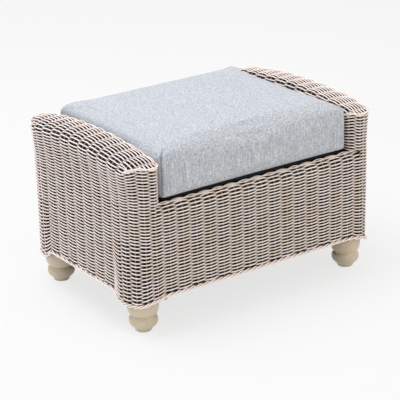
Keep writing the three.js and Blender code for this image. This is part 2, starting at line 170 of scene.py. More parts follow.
def mesh_object(name: str, points: np.ndarray, edges: list, faces: list) -> bpy.types.Object:
    """Makes a mesh object at the origin.

    Args:
        name: the piece's name.
        points: one row of x, y, z for each vertex.
        edges: pairs of vertex numbers, for a mesh without faces.
        faces: lists of vertex numbers.

    Returns:
        The linked object.
    """
    mesh = bpy.data.meshes.new(name)
    mesh.from_pydata([tuple(p) for p in points], edges, faces)
    mesh.update()
    made = bpy.data.objects.new(name, mesh)
    bpy.context.scene.collection.objects.link(made)
    return made


def read_points(mesh: bpy.types.Mesh) -> np.ndarray:
    """Reads a mesh's vertices, one in each row."""
    values = np.empty(len(mesh.vertices) * 3)
    mesh.vertices.foreach_get("co", values)
    return values.reshape(-1, 3)


def flatten_modifiers(made: bpy.types.Object) -> bpy.types.Object:
    """Turns an object's modifiers into a plain mesh and removes them.

    Args:
        made: the object with its modifiers.

    Returns:
        The same object.
    """
    bpy.context.view_layer.update()
    seen = made.evaluated_get(bpy.context.evaluated_depsgraph_get())
    mesh = bpy.data.meshes.new_from_object(seen)
    mesh.name = made.name
    made.modifiers.clear()
    made.data = mesh
    return made


def shade_smooth(made: bpy.types.Object) -> None:
    """Shades every face of a mesh object smooth."""
    made.data.polygons.foreach_set("use_smooth", [True] * len(made.data.polygons))


def place(made: bpy.types.Object, body: str, slot: str, *nodes: str) -> None:
    """Lets a finished piece ride on a CAD body, in place of CAD nodes.

    Args:
        made: the finished piece.
        body: the CAD body that it moves with.
        slot: the name of a material slot; not used.
        *nodes: the CAD nodes that it stands for.
    """
    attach(made, body)
    if nodes:
        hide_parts(*nodes)
    stands_for = ", ".join(nodes) or "itself"
    LOG.info("%s: %d faces, stands for %s", made.name, len(made.data.polygons), stands_for)


# Finishes


@dataclass(frozen=True)
class Finish:
    """A material with one shader, built once when it is first asked for."""

    name: str
    roughness: float
    relief: float = 0.0  # height of its fine relief, or 0 for none
    relief_strength: float = 0.5

    def build(self) -> bpy.types.Material:
        """Makes the material, or gives the one made before.

        Returns:
            The material.
        """
        known = bpy.data.materials.get(self.name)
        if known:
            return known
        material = bpy.data.materials.new(self.name)
        material.use_nodes = True
        tree = material.node_tree
        shader = tree.nodes["Principled BSDF"]
        feed(tree, shader, {"Roughness": self.roughness, **self.paint(tree)})
        return material

    def paint(self, tree: bpy.types.NodeTree) -> dict:
        """Makes the nodes of the finish; each finish has its own.

        Args:
            tree: the shader tree.

        Returns:
            The shader's inputs.
        """
        raise NotImplementedError

    def embossed(self, tree: bpy.types.NodeTree, height: bpy.types.NodeSocket) -> bpy.types.NodeSocket:
        """Turns a height from 0 to 1 into a normal, as deep as the finish's relief."""
        values = {"Height": height, "Distance": self.relief, "Strength": self.relief_strength}
        return add_node(tree, "ShaderNodeBump", values).outputs["Normal"]


def attribute(tree: bpy.types.NodeTree, name: str) -> bpy.types.NodeSocket:
    """Reads a number that the mesh carries."""
    return add_node(tree, "ShaderNodeAttribute", attribute_name=name).outputs["Fac"]


def blend_colours(
    tree: bpy.types.NodeTree,
    factor: bpy.types.NodeSocket,
    first: bpy.types.NodeSocket | tuple,
    second: bpy.types.NodeSocket | tuple,
) -> bpy.types.NodeSocket:
    """Mixes two colours, given as sockets or linear values.

    Args:
        tree: the shader tree.
        factor: share of the second colour.
        first: the first colour.
        second: the second colour.

    Returns:
        The mixed colour's socket.
    """
    return add_node(tree, "ShaderNodeMix", {0: factor, 6: first, 7: second}, data_type="RGBA").outputs[2]


def object_noise(
    tree: bpy.types.NodeTree, cells: tuple[float, float, float], detail: float = 2.0
) -> bpy.types.NodeSocket:
    """A noise on Object coordinates.

    Args:
        tree: the shader tree.
        cells: number of noise cells for each metre along X, Y and Z.
        detail: how many finer layers the noise has.

    Returns:
        The noise value's socket.
    """
    coordinates = add_node(tree, "ShaderNodeTexCoord").outputs["Object"]
    mapped = add_node(tree, "ShaderNodeMapping", {"Vector": coordinates, "Scale": cells}).outputs["Vector"]
    noise = add_node(tree, "ShaderNodeTexNoise", {"Vector": mapped, "Scale": 1.0, "Detail": detail})
    return noise.outputs["Fac"]


def spread(
    tree: bpy.types.NodeTree,
    value: bpy.types.NodeSocket,
    band: tuple[float, float],
    ends: tuple[float, float] = (0.0, 1.0),
) -> bpy.types.NodeSocket:
    """Maps a band of values to a new range and clamps it.

    Args:
        tree: the shader tree.
        value: the value's socket.
        band: the two values that become the ends of the new range.
        ends: the two ends of the new range.

    Returns:
        The new value's socket.
    """
    limits = {"From Min": band[0], "From Max": band[1], "To Min": ends[0], "To Max": ends[1]}
    return add_node(tree, "ShaderNodeMapRange", {"Value": value, **limits}).outputs["Result"]


@dataclass(frozen=True)
class LimewashedCane(Finish):
    """Round core cane, woven damp and then lime-washed: chalky crowns, darkened by painted shade where it
    dives.
    """

    name: str = "core_cane_limewashed"
    roughness: float = 0.6
    relief: float = 0.0001
    crown: str = "#FFF4EE"
    warm: str = "#FAE6D4"
    # painted shade: the near black colour where the strands dive into the gaps
    recess_shade: str = "#120906"
    patch: float = 0.030  # length of the patches where the wash is thinner
    fibre: float = 0.0006  # width of the cane's fibres
    thinning: tuple[float, float] = (0.15, 0.6)  # warmth where the wash starts to thin, and where it is thin
    shadow: tuple[float, float] = (-0.45, 0.25)  # crown height where the painted shade in the recess is full, and where it ends

    def paint(self, tree: bpy.types.NodeTree) -> dict:
        """Wash colour by strand and patches, painted shade by crown height, with fine fibre relief.

        Args:
            tree: the shader tree.

        Returns:
            The shader's inputs.
        """
        tint = attribute(tree, "tint")
        crown = attribute(tree, "crown")
        patches = object_noise(tree, (1 / self.patch,) * 3)
        warmth = add_node(tree, "ShaderNodeMath", {0: tint, 1: patches}, operation="MULTIPLY").outputs[0]
        thin = spread(tree, warmth, self.thinning)
        washed = blend_colours(tree, thin, linear(self.crown), linear(self.warm))
        # painted shade: the lower the crown height, the more of the near black recess colour
        dive = spread(tree, crown, self.shadow, (1.0, 0.0))
        colour = blend_colours(tree, dive, washed, linear(self.recess_shade))
        fibres = object_noise(tree, (1 / self.fibre,) * 3)
        return {"Base Color": colour, "Normal": self.embossed(tree, fibres)}


@dataclass(frozen=True)
class PeeledPole(Finish):
    """Peeled cane pole: straw-brown, glossy skin rubbed dull, with long streaks."""

    name: str = "cane_pole_peeled"
    roughness: float = 0.5
    relief: float = 0.0002
    relief_strength: float = 0.4
    light: str = "#C9A36C"
    dark: str = "#94693A"
    streak: float = 0.004  # width of a streak
    streaks_up: float = 12.0  # streaks for each metre of height
    blotches: float = 25.0  # for each metre
    lightening: tuple[float, float] = (0.8, 1.25)  # both noises together, from all dark to all light

    def paint(self, tree: bpy.types.NodeTree) -> dict:
        """Two browns streaked by a stretched noise.

        Args:
            tree: the shader tree.

        Returns:
            The shader's inputs.
        """
        streaks = object_noise(tree, (1 / self.streak, 1 / self.streak, self.streaks_up), detail=3.0)
        blotches = object_noise(tree, (self.blotches,) * 3)
        both = add_node(tree, "ShaderNodeMath", {0: streaks, 1: blotches}, operation="ADD").outputs[0]
        share = spread(tree, both, self.lightening)
        colour = blend_colours(tree, share, linear(self.dark), linear(self.light))
        return {"Base Color": colour, "Normal": self.embossed(tree, streaks)}


@dataclass(frozen=True)
class TurnedHardwood(Finish):
    """Turned hardwood foot under a cream lime wash: upright grain shows through a satin film."""

    name: str = "hardwood_turned_limewash"
    roughness: float = 0.27
    relief: float = 0.00015
    wash: str = "#DACDB5"
    grain: str = "#B8A684"
    worn: str = "#C6B797"
    grain_width: float = 0.0014
    grain_up: float = 14.0  # grain lines for each metre of height
    patches: tuple[float, float, float] = (30.0, 30.0, 22.0)  # worn patches for each metre
    grain_band: tuple[float, float] = (0.46, 0.7)
    grain_share: float = 0.4  # most that the grain's colour takes of the wash
    worn_band: tuple[float, float] = (0.35, 0.7)
    worn_share: float = 0.35

    def paint(self, tree: bpy.types.NodeTree) -> dict:
        """Cream wash with upright grain lines and worn patches.

        Args:
            tree: the shader tree.

        Returns:
            The shader's inputs.
        """
        across = 1 / self.grain_width
        grain = object_noise(tree, (across, across, self.grain_up), detail=4.0)
        share = spread(tree, grain, self.grain_band, (0.0, self.grain_share))
        grained = blend_colours(tree, share, linear(self.wash), linear(self.grain))
        worn = spread(tree, object_noise(tree, self.patches), self.worn_band, (0.0, self.worn_share))
        colour = blend_colours(tree, worn, grained, linear(self.worn))
        return {"Base Color": colour, "Normal": self.embossed(tree, grain)}


@dataclass(frozen=True)
class SawnSoftwood(Finish):
    """Bare sawn softwood of the hidden blocks and battens: straw colour with saw marks."""

    name: str = "softwood_sawn"
    roughness: float = 0.8
    relief: float = 0.0002
    relief_strength: float = 0.6
    early: str = "#D6BC8E"
    late: str = "#A9834F"
    growth_lines: tuple[float, float, float] = (6.0, 260.0, 260.0)  # for each metre along X, Y and Z
    saw_marks: tuple[float, float, float] = (700.0, 60.0, 700.0)
    late_band: tuple[float, float] = (0.45, 0.62)

    def paint(self, tree: bpy.types.NodeTree) -> dict:
        """Growth lines along X with fine saw marks across them.

        Args:
            tree: the shader tree.

        Returns:
            The shader's inputs.
        """
        share = spread(tree, object_noise(tree, self.growth_lines), self.late_band)
        colour = blend_colours(tree, share, linear(self.early), linear(self.late))
        return {"Base Color": colour, "Normal": self.embossed(tree, object_noise(tree, self.saw_marks))}


@dataclass(frozen=True)
class ZincSteel(Finish):
    """Zinc-plated steel of the foot bolts: pale grey metal with a mottled sheen."""

    name: str = "steel_zinc_plated"
    roughness: float = 0.35
    light: str = "#C6C8CA"
    dark: str = "#A3A6A8"
    blotches: float = 400.0  # for each metre
    roughness_range: tuple[float, float] = (0.25, 0.45)

    def paint(self, tree: bpy.types.NodeTree) -> dict:
        """Metal whose roughness varies in small blotches.

        Args:
            tree: the shader tree.

        Returns:
            The shader's inputs.
        """
        mottle = object_noise(tree, (self.blotches,) * 3)
        colour = blend_colours(tree, mottle, linear(self.light), linear(self.dark))
        roughness = spread(tree, mottle, NOISE_BAND, self.roughness_range)
        return {"Base Color": colour, "Roughness": roughness, "Metallic": 1.0}


@dataclass(frozen=True)
class BlackDustCloth(Finish):
    """Black non-woven cloth over the seat board: matt, faintly fibrous."""

    name: str = "cloth_nonwoven_black"
    roughness: float = 0.95
    relief: float = 0.0002
    black: str = "#08080A"
    fibre: str = "#161618"
    fibres: float = 900.0  # for each metre
    fibre_band: tuple[float, float] = (0.4, 0.7)

    def paint(self, tree: bpy.types.NodeTree) -> dict:
        """Near-black fibres without any sheen.

        Args:
            tree: the shader tree.

        Returns:
            The shader's inputs.
        """
        fibres = object_noise(tree, (self.fibres,) * 3, detail=3.0)
        share = spread(tree, fibres, self.fibre_band)
        colour = blend_colours(tree, share, linear(self.black), linear(self.fibre))
        return {"Base Color": colour, "Normal": self.embossed(tree, fibres)}


@dataclass(frozen=True)
class MelangeCloth(Finish):
    """Woven blue-grey melange upholstery: pale and dark yarns mixed, slubs run up and down the sides."""

    name: str = "cloth_melange_woven"
    roughness: float = 0.92
    relief: float = 0.0003
    pale: str = "#DBDEE2"
    mid: str = "#B4BBC2"
    dark: str = "#838D95"
    # seam: painted shade that darkens the cloth in its sunken seams
    seam: str = "#5F666D"
    slub_width: float = 0.0028  # drawn about twice as wide as the yarn, so that it shows
    slub_length: float = 0.045
    slub_band: tuple[float, float] = (0.36, 0.66)
    mottle: float = 0.0045  # size of the spots where pale or dark yarns gather
    mottle_band: tuple[float, float] = (0.42, 0.68)
    mottle_share: float = 0.45  # most that the dark yarn takes of a spot
    speckle: float = 0.0018
    speckle_band: tuple[float, float] = (0.5, 0.74)
    speckle_share: float = 0.8
    seam_share: float = 0.75
    sheen: float = 0.25
    sheen_roughness: float = 0.5

    def paint(self, tree: bpy.types.NodeTree) -> dict:
        """Slub streaks and yarn speckle over a pale ground, with painted shade in the sunken seams.

        Args:
            tree: the shader tree.

        Returns:
            The shader's inputs.
        """
        across = 1 / self.slub_width
        slubs = spread(tree, object_noise(tree, (across, across, 1 / self.slub_length)), self.slub_band)
        ground = blend_colours(tree, slubs, linear(self.pale), linear(self.mid))
        spots = object_noise(tree, (1 / self.mottle,) * 3)
        mottled = spread(tree, spots, self.mottle_band, (0.0, self.mottle_share))
        spotted = blend_colours(tree, mottled, ground, linear(self.dark))
        speckle = object_noise(tree, (1 / self.speckle,) * 3, detail=1.0)
        specks = spread(tree, speckle, self.speckle_band, (0.0, self.speckle_share))
        flecked = blend_colours(tree, specks, spotted, linear(self.dark))
        # painted shade in the sunken seams
        seam_shade = spread(tree, attribute(tree, "seam"), (0.0, 1.0), (0.0, self.seam_share))
        colour = blend_colours(tree, seam_shade, flecked, linear(self.seam))
        sheen = {"Sheen Weight": self.sheen, "Sheen Roughness": self.sheen_roughness}
        return {"Base Color": colour, "Normal": self.embossed(tree, speckle), **sheen}


@dataclass(frozen=True)
class CoilZip(Finish):
    """Grey nylon coil zip: the moulded coil has a soft gloss and fine ribs."""

    name: str = "nylon_zip_coil"
    roughness: float = 0.45
    relief: float = 0.0001
    relief_strength: float = 0.6
    # valley: painted shade between the ribs
    valley: str = "#8D959D"
    rib: str = "#A9B0B7"
    ribs: tuple[float, float, float] = (900.0, 60.0, 60.0)  # for each metre along X, Y and Z

    def paint(self, tree: bpy.types.NodeTree) -> dict:
        """Even grey with fine ribs across the length, and painted shade in the valleys between them.

        Args:
            tree: the shader tree.

        Returns:
            The shader's inputs.
        """
        ribs = object_noise(tree, self.ribs, detail=0.0)
        colour = blend_colours(tree, ribs, linear(self.valley), linear(self.rib))
        return {"Base Color": colour, "Normal": self.embossed(tree, ribs)}


# The woven body's shape


@dataclass(frozen=True)
class StoolShape:
    """Outer shape of the woven body, with the sizes of the CAD part."""

    half_width: float = 0.331
    half_depth: float = 0.2325
    weave_bottom: float = 0.088
    corner_dip: float = 0.021  # the lower edge is this much lower round a foot
    dip_full: float = 0.047  # distance from the foot's middle up to which the dip is full
    dip_none: float = 0.066  # and beyond which there is none
    foot_x: float = 0.283
    foot_y: float = 0.173
    seat_edge_top: float = 0.298
    arm_peak: float = 0.411
    arm_fall: float = 0.020  # the arch is this much lower at its noses
    arm_flare: float = 0.007  # the arm's outer side leans out by this much at the top
    arm_inner_x: float = 0.253
    outer_across: float = 0.053  # the outer corners are quarters of an ellipse with these half axes
    outer_along: float = 0.080
    inner_along: float = 0.055  # half axis along Y of the inner corners of an arm
    shoulder_side: float = 0.024  # depth under the arch of the edge of the arm's top, along its sides
    shoulder_nose: float = 0.005  # and at its noses
    shoulder_start: float = 0.180  # the edge starts to rise here, as a distance from the middle
    shoulder_power: tuple[float, float] = (4.0, 2.5)  # of the curve across the top, inside and outside
    nose_rounding: float = 0.022
    rail_y: float = 0.211
    rail_z: float = 0.2765
    wrap_radius: float = 0.0215  # of the weave's outer face round the seat rail
    wrap_angle: float = math.radians(120)

    @property
    def crest_x(self) -> float:
        """The line along the middle of the arm's end."""
        return self.half_width - self.outer_across

    @property
    def inner_across(self) -> float:
        """Distance from the crest line to the arm's inner face."""
        return self.crest_x - self.arm_inner_x

    def arch_top(self, y: np.ndarray | float) -> np.ndarray:
        """Height of the arm's top along its length."""
        return self.arm_peak - self.arm_fall * (y / self.half_depth) ** 2

    def shoulder_drop(self, y: np.ndarray | float) -> np.ndarray:
        """How far below the arch the edge of the arm's top lies."""
        blend = smoothstep(np.abs(y), self.shoulder_start, self.half_depth)
        return self.shoulder_side + (self.shoulder_nose - self.shoulder_side) * blend

    def flare(self, x: np.ndarray, z: np.ndarray) -> np.ndarray:
        """How far the arm's outer side leans out.

        Args:
            x: places along the long side.
            z: heights.

        Returns:
            What to add to x.
        """
        rise = smoothstep(z, self.seat_edge_top, self.arm_peak - self.arm_fall)
        share = np.clip((np.abs(x) - self.crest_x) / self.outer_across, 0, 1)
        return np.sign(x) * self.arm_flare * rise * share

    def bottom_at(self, x: np.ndarray | float, y: np.ndarray | float) -> np.ndarray:
        """Lower edge of the weave, which dips round each foot."""
        away = np.hypot(np.abs(x) - self.foot_x, np.abs(y) - self.foot_y)
        return self.weave_bottom - self.corner_dip * (1 - smoothstep(away, self.dip_full, self.dip_none))


@dataclass
class PlanLine:
    """A line round part of the body seen from above, sampled evenly between its stakes."""

    xy: np.ndarray
    normal: np.ndarray
    column: np.ndarray

    @property
    def x(self) -> np.ndarray:
        """X of each station."""
        return self.xy[:, 0]

    @property
    def y(self) -> np.ndarray:
        """Y of each station."""
        return self.xy[:, 1]

    def then(self, other: PlanLine) -> PlanLine:
        """Joins another line that starts where this one ends.

        Args:
            other: the other line.

        Returns:
            Both as one line.
        """
        return PlanLine(
            np.vstack([self.xy, other.xy[1:]]),
            np.vstack([self.normal, other.normal[1:]]),
            np.concatenate([self.column, self.column[-1] + other.column[1:]]),
        )

    def reversed(self) -> PlanLine:
        """The same line walked the other way."""
        return PlanLine(self.xy[::-1], self.normal[::-1], self.column[-1] - self.column[::-1])

    def at(self, column: float) -> tuple[np.ndarray, np.ndarray]:
        """Finds a place on the line.

        Args:
            column: the place, as a number of stakes from the line's start.

        Returns:
            Its x and y, and the outward direction there.
        """
        spot = np.array([np.interp(column, self.column, self.xy[:, i]) for i in (0, 1)])
        out = np.array([np.interp(column, self.column, self.normal[:, i]) for i in (0, 1)])
        return spot, out / np.linalg.norm(out)


def straight_line(start: tuple, stop: tuple, normal: tuple, columns: int) -> PlanLine:
    """A straight run of wall.

    Args:
        start: x and y of its first end.
        stop: x and y of its last end.
        normal: its outward direction.
        columns: number of spaces between stakes.

    Returns:
        The sampled line.
    """
    count = columns * SAMPLES_PER_COLUMN + 1
    part = np.linspace(0, 1, count)[:, None]
    xy = np.array(start) * (1 - part) + np.array(stop) * part
    return PlanLine(xy, np.tile(np.array(normal, float), (count, 1)), np.linspace(0, columns, count))


def corner_line(shape: StoolShape, side: Side, end: End, direction: int, columns: int) -> PlanLine:
    """A quarter of an ellipse from the arm's side round to the crest of its nose.

    Args:
        shape: the body's shape.
        side: which arm.
        end: which end of the arm.
        direction: 1 for the outer corner and -1 for the inner one.
        columns: number of spaces between stakes.

    Returns:
        The line, evenly spaced by length.
    """
    across = shape.outer_across if direction > 0 else shape.inner_across
    along = shape.outer_along if direction > 0 else shape.inner_along
    fine = np.linspace(0, math.pi / 2, 200)
    steps = np.hypot(np.diff(across * np.cos(fine)), np.diff(along * np.sin(fine)))
    length = np.concatenate([[0], np.cumsum(steps)])
    count = columns * SAMPLES_PER_COLUMN + 1
    angle = np.interp(np.linspace(0, length[-1], count), length, fine)
    x = shape.crest_x + direction * across * np.cos(angle)
    y = shape.half_depth - along * (1 - np.sin(angle))
    out = np.stack([direction * np.cos(angle) / across, np.sin(angle) / along], axis=1)
    out /= np.linalg.norm(out, axis=1)[:, None]
    flip = np.array([side.value, end.value])
    return PlanLine(np.stack([x, y], axis=1) * flip, out * flip, np.linspace(0, columns, count))


# Strands and the tree that turns them into tubes


@dataclass
class Strand:
    """The middle line of one length of cane, before it swings in and out between the stakes."""

    points: np.ndarray
    outward: np.ndarray
    phase: np.ndarray
    swing: float
    girth: float
    tint: float
    rest: np.ndarray


@dataclass
class StrandBundle:
    """All the cane of one piece."""

    strands: list[Strand] = field(default_factory=list)

    def add(
        self,
        points: np.ndarray,
        outward: np.ndarray | tuple,
        phase: np.ndarray | float,
        swing: float = 1.0,
        girth: float = 1.0,
        tint: float = 0.5,
        rest: float | np.ndarray = 0.0,
    ) -> None:
        """Adds a strand.

        Args:
            points: its middle line.
            outward: the direction away from the stool at each point.
            phase: counts the stakes that it passes, plus the number of its row.
            swing: share of the full swing in and out; 0 for a stake.
            girth: thickness against a plain weaver.
            tint: from 0, white with wash, to 1, warm bare cane.
            rest: how far out the strand counts as lying without swinging, from -1 to 1; it moves nothing and
                only gives its painted shade.
        """
        outward = np.broadcast_to(np.asarray(outward, float), points.shape)
        phase = np.broadcast_to(np.asarray(phase, float), (len(points),))
        rest = np.broadcast_to(np.asarray(rest, float), (len(points),))
        self.strands.append(Strand(points, outward, phase, swing, girth, tint, rest))

    def add_still(
        self, points: np.ndarray, outward: np.ndarray | tuple, **looks: float | np.ndarray
    ) -> None:
        """Adds a strand that doesn't swing in and out, such as a stake.

        Args:
            points: its middle line.
            outward: the direction away from the stool at each point.
            **looks: its girth, tint and rest, where they aren't the usual ones.
        """
        self.add(points, outward, 0.0, swing=0.0, **looks)

    def lines(self, name: str) -> bpy.types.Object:
        """Makes one mesh of open edge chains that carries the strands' values.

        Args:
            name: the piece's name.

        Returns:
            The object, ready for the strand tree.
        """
        edges = []
        first = 0
        for strand in self.strands:
            count = len(strand.points)
            edges += [(first + i, first + i + 1) for i in range(count - 1)]
            first += count
        made = mesh_object(name, np.vstack([s.points for s in self.strands]), edges, [])
        for key in ("phase", "swing", "girth", "tint", "rest"):
            parts = [np.broadcast_to(getattr(s, key), (len(s.points),)) for s in self.strands]
            carried = made.data.attributes.new(key, "FLOAT", "POINT")
            carried.data.foreach_set("value", np.concatenate(parts).astype(np.float32))
        outward = np.vstack([s.outward for s in self.strands]).astype(np.float32)
        carried = made.data.attributes.new("outward", "FLOAT_VECTOR", "POINT")
        carried.data.foreach_set("vector", outward.ravel())
        return made


@dataclass(frozen=True)
class StrandTree:
    """Geometry Nodes that swing each strand past its stakes and give it a round section."""

    diameter: float = 0.0030
    swing: float = 0.0029  # a weaver's middle is this far in front of the stakes' middle
    sides: int = 6
    unevenness: float = 0.12  # share by which the thickness varies along a strand
    wander: float = 0.0005  # how far hand work leaves the strands from their line
    wander_bends: float = 28.0  # for each metre; this and the next two are the same in all pieces
    thickness_bends: float = 55.0  # changes of thickness for each metre
    noise_gain: float = 4.0  # a noise stays near its middle, so the wander is multiplied by this
    seed: float = 4.0

    def group(self) -> bpy.types.NodeTree:
        """Makes the tree, or gives the one made before."""
        known = bpy.data.node_groups.get("cane_strands")
        return known or self._make()

    def _make(self) -> bpy.types.NodeTree:
        """Builds the tree and its named inputs.

        Returns:
            The tree.
        """
        tree = bpy.data.node_groups.new("cane_strands", "GeometryNodeTree")
        face = tree.interface
        face.new_socket("Geometry", in_out="INPUT", socket_type="NodeSocketGeometry")
        for name in ("Diameter", "Swing", "Unevenness", "Wander", "Seed"):
            face.new_socket(name, in_out="INPUT", socket_type="NodeSocketFloat")
        face.new_socket("Sides", in_out="INPUT", socket_type="NodeSocketInt")
        face.new_socket("Material", in_out="INPUT", socket_type="NodeSocketMaterial")
        face.new_socket("Geometry", in_out="OUTPUT", socket_type="NodeSocketGeometry")
        given = add_node(tree, "NodeGroupInput").outputs
        here = add_node(tree, "GeometryNodeInputPosition").outputs[0]

        def named(name: str, kind: str = "FLOAT") -> bpy.types.NodeSocket:
            """Reads one of the strands' values."""
            reader = add_node(tree, "GeometryNodeInputNamedAttribute", {"Name": name}, data_type=kind)
            return reader.outputs[0]

        def calculate(operation: str, *values: bpy.types.NodeSocket | float) -> bpy.types.NodeSocket:
            """One step of arithmetic."""
            return add_node(tree, "ShaderNodeMath", dict(enumerate(values)), operation=operation).outputs[0]

        def combine(operation: str, values: dict) -> bpy.types.NodeSocket:
            """One step of arithmetic on vectors."""
            return add_node(tree, "ShaderNodeVectorMath", values, operation=operation).outputs[0]

        def noise(scale: float, output: str) -> bpy.types.NodeSocket:
            """Seeded noise on the strand's place."""
            values = {"Vector": here, "W": given["Seed"], "Scale": scale, "Detail": 1.0}
            return add_node(tree, "ShaderNodeTexNoise", values, noise_dimensions="4D").outputs[output]

        def stored(name: str, values: dict) -> bpy.types.NodeSocket:
            """Lets the geometry carry one more value."""
            setting = {"data_type": "FLOAT", "domain": "POINT"}
            return add_node(
                tree, "GeometryNodeStoreNamedAttribute", {"Name": name, **values}, **setting
            ).outputs[0]

        wave = calculate("COSINE", calculate("MULTIPLY", named("phase"), math.pi))
        crown = calculate("MULTIPLY", wave, named("swing"))
        reach = calculate("MULTIPLY", crown, given["Swing"])
        offset = combine("SCALE", {0: named("outward", "FLOAT_VECTOR"), "Scale": reach})
        centred = combine("SUBTRACT", {0: noise(self.wander_bends, "Color"), 1: (0.5, 0.5, 0.5)})
        stray = combine("SCALE", {0: centred, "Scale": given["Wander"]})
        strayed = combine("SCALE", {0: stray, "Scale": self.noise_gain})
        moved = combine("ADD", {0: offset, 1: strayed})
        change = calculate("SUBTRACT", noise(self.thickness_bends, "Fac"), 0.5)
        uneven = calculate("MULTIPLY", change, given["Unevenness"])
        share = calculate("ADD", calculate("MULTIPLY", uneven, 2.0), 1.0)
        thickness = calculate("MULTIPLY", share, named("girth"))
        radius = calculate("MULTIPLY", calculate("MULTIPLY", thickness, given["Diameter"]), 0.5)

        # the stored crown value only colours the cane, as painted shade where it is low
        shade = calculate("ADD", crown, named("rest"))
        shaded = stored("crown", {"Geometry": given["Geometry"], "Value": shade})
        thick = stored("half_thickness", {"Geometry": shaded, "Value": radius})
        swung = add_node(tree, "GeometryNodeSetPosition", {"Geometry": thick, "Offset": moved})
        curve = add_node(tree, "GeometryNodeMeshToCurve", {"Mesh": swung.outputs[0]})
        circle = {"Resolution": given["Sides"], "Radius": 1.0}
        section = add_node(tree, "GeometryNodeCurvePrimitiveCircle", circle, mode="RADIUS")
        tube = add_node(
            tree,
            "GeometryNodeCurveToMesh",
            {
                "Curve": curve.outputs[0],
                "Profile Curve": section.outputs["Curve"],
                "Scale": named("half_thickness"),
                "Fill Caps": True,
            },
        )
        smooth = add_node(tree, "GeometryNodeSetShadeSmooth", {"Geometry": tube.outputs[0]})
        real = add_node(tree, "GeometryNodeRealizeInstances", {"Geometry": smooth.outputs[0]})
        coated = {"Geometry": real.outputs[0], "Material": given["Material"]}
        painted = add_node(tree, "GeometryNodeSetMaterial", coated)
        add_node(tree, "NodeGroupOutput", {"Geometry": painted.outputs[0]})
        return tree

    def weave(self, bundle: StrandBundle, name: str, material: bpy.types.Material) -> bpy.types.Object:
        """Turns a bundle of strands into a plain mesh.

        Args:
            bundle: the strands.
            name: the piece's name.
            material: the cane's material.

        Returns:
            The piece, with no modifier left on it.
        """
        made = bundle.lines(name)
        modifier = made.modifiers.new("cane", "NODES")
        tree = self.group()
        modifier.node_group = tree
        names = ("Diameter", "Swing", "Unevenness", "Wander", "Seed", "Sides")
        values = {name: getattr(self, name.lower()) for name in names} | {"Material": material}
        for item in tree.interface.items_tree:
            if item.in_out == "INPUT" and item.name in values:
                modifier[item.identifier] = values[item.name]
        return flatten_modifiers(made)


# The woven body


@dataclass(frozen=True)
class Roll:
    """A border of strands that are twisted round each other."""

    radius: float  # of the strands' middle lines round the roll's own
    strands: int = 2
    turn_columns: float = 2.0  # columns for one turn
    girth: float = 1.0
    tint: float = 0.6
    shade: float = 0.0  # rest of a strand half way round
    shade_swing: float = 0.0  # what it gains at the front and loses at the back

    def turns(self, line: PlanLine) -> list[np.ndarray]:
        """The angle round the roll, along each of its strands."""
        steps = [strand / self.strands for strand in range(self.strands)]
        return [2 * math.pi * (line.column / self.turn_columns + step) for step in steps]

    def add(self, bundle: StrandBundle, points: np.ndarray, outward: np.ndarray, near: np.ndarray) -> None:
        """Adds one of the roll's strands.

        Args:
            bundle: the strands of the piece.
            points: the strand's middle line.
            outward: its outward directions.
            near: from -1 at the back of the roll to 1 at its front.
        """
        rest = self.shade + self.shade_swing * near
        bundle.add_still(points, outward, girth=self.girth, tint=self.tint, rest=rest)


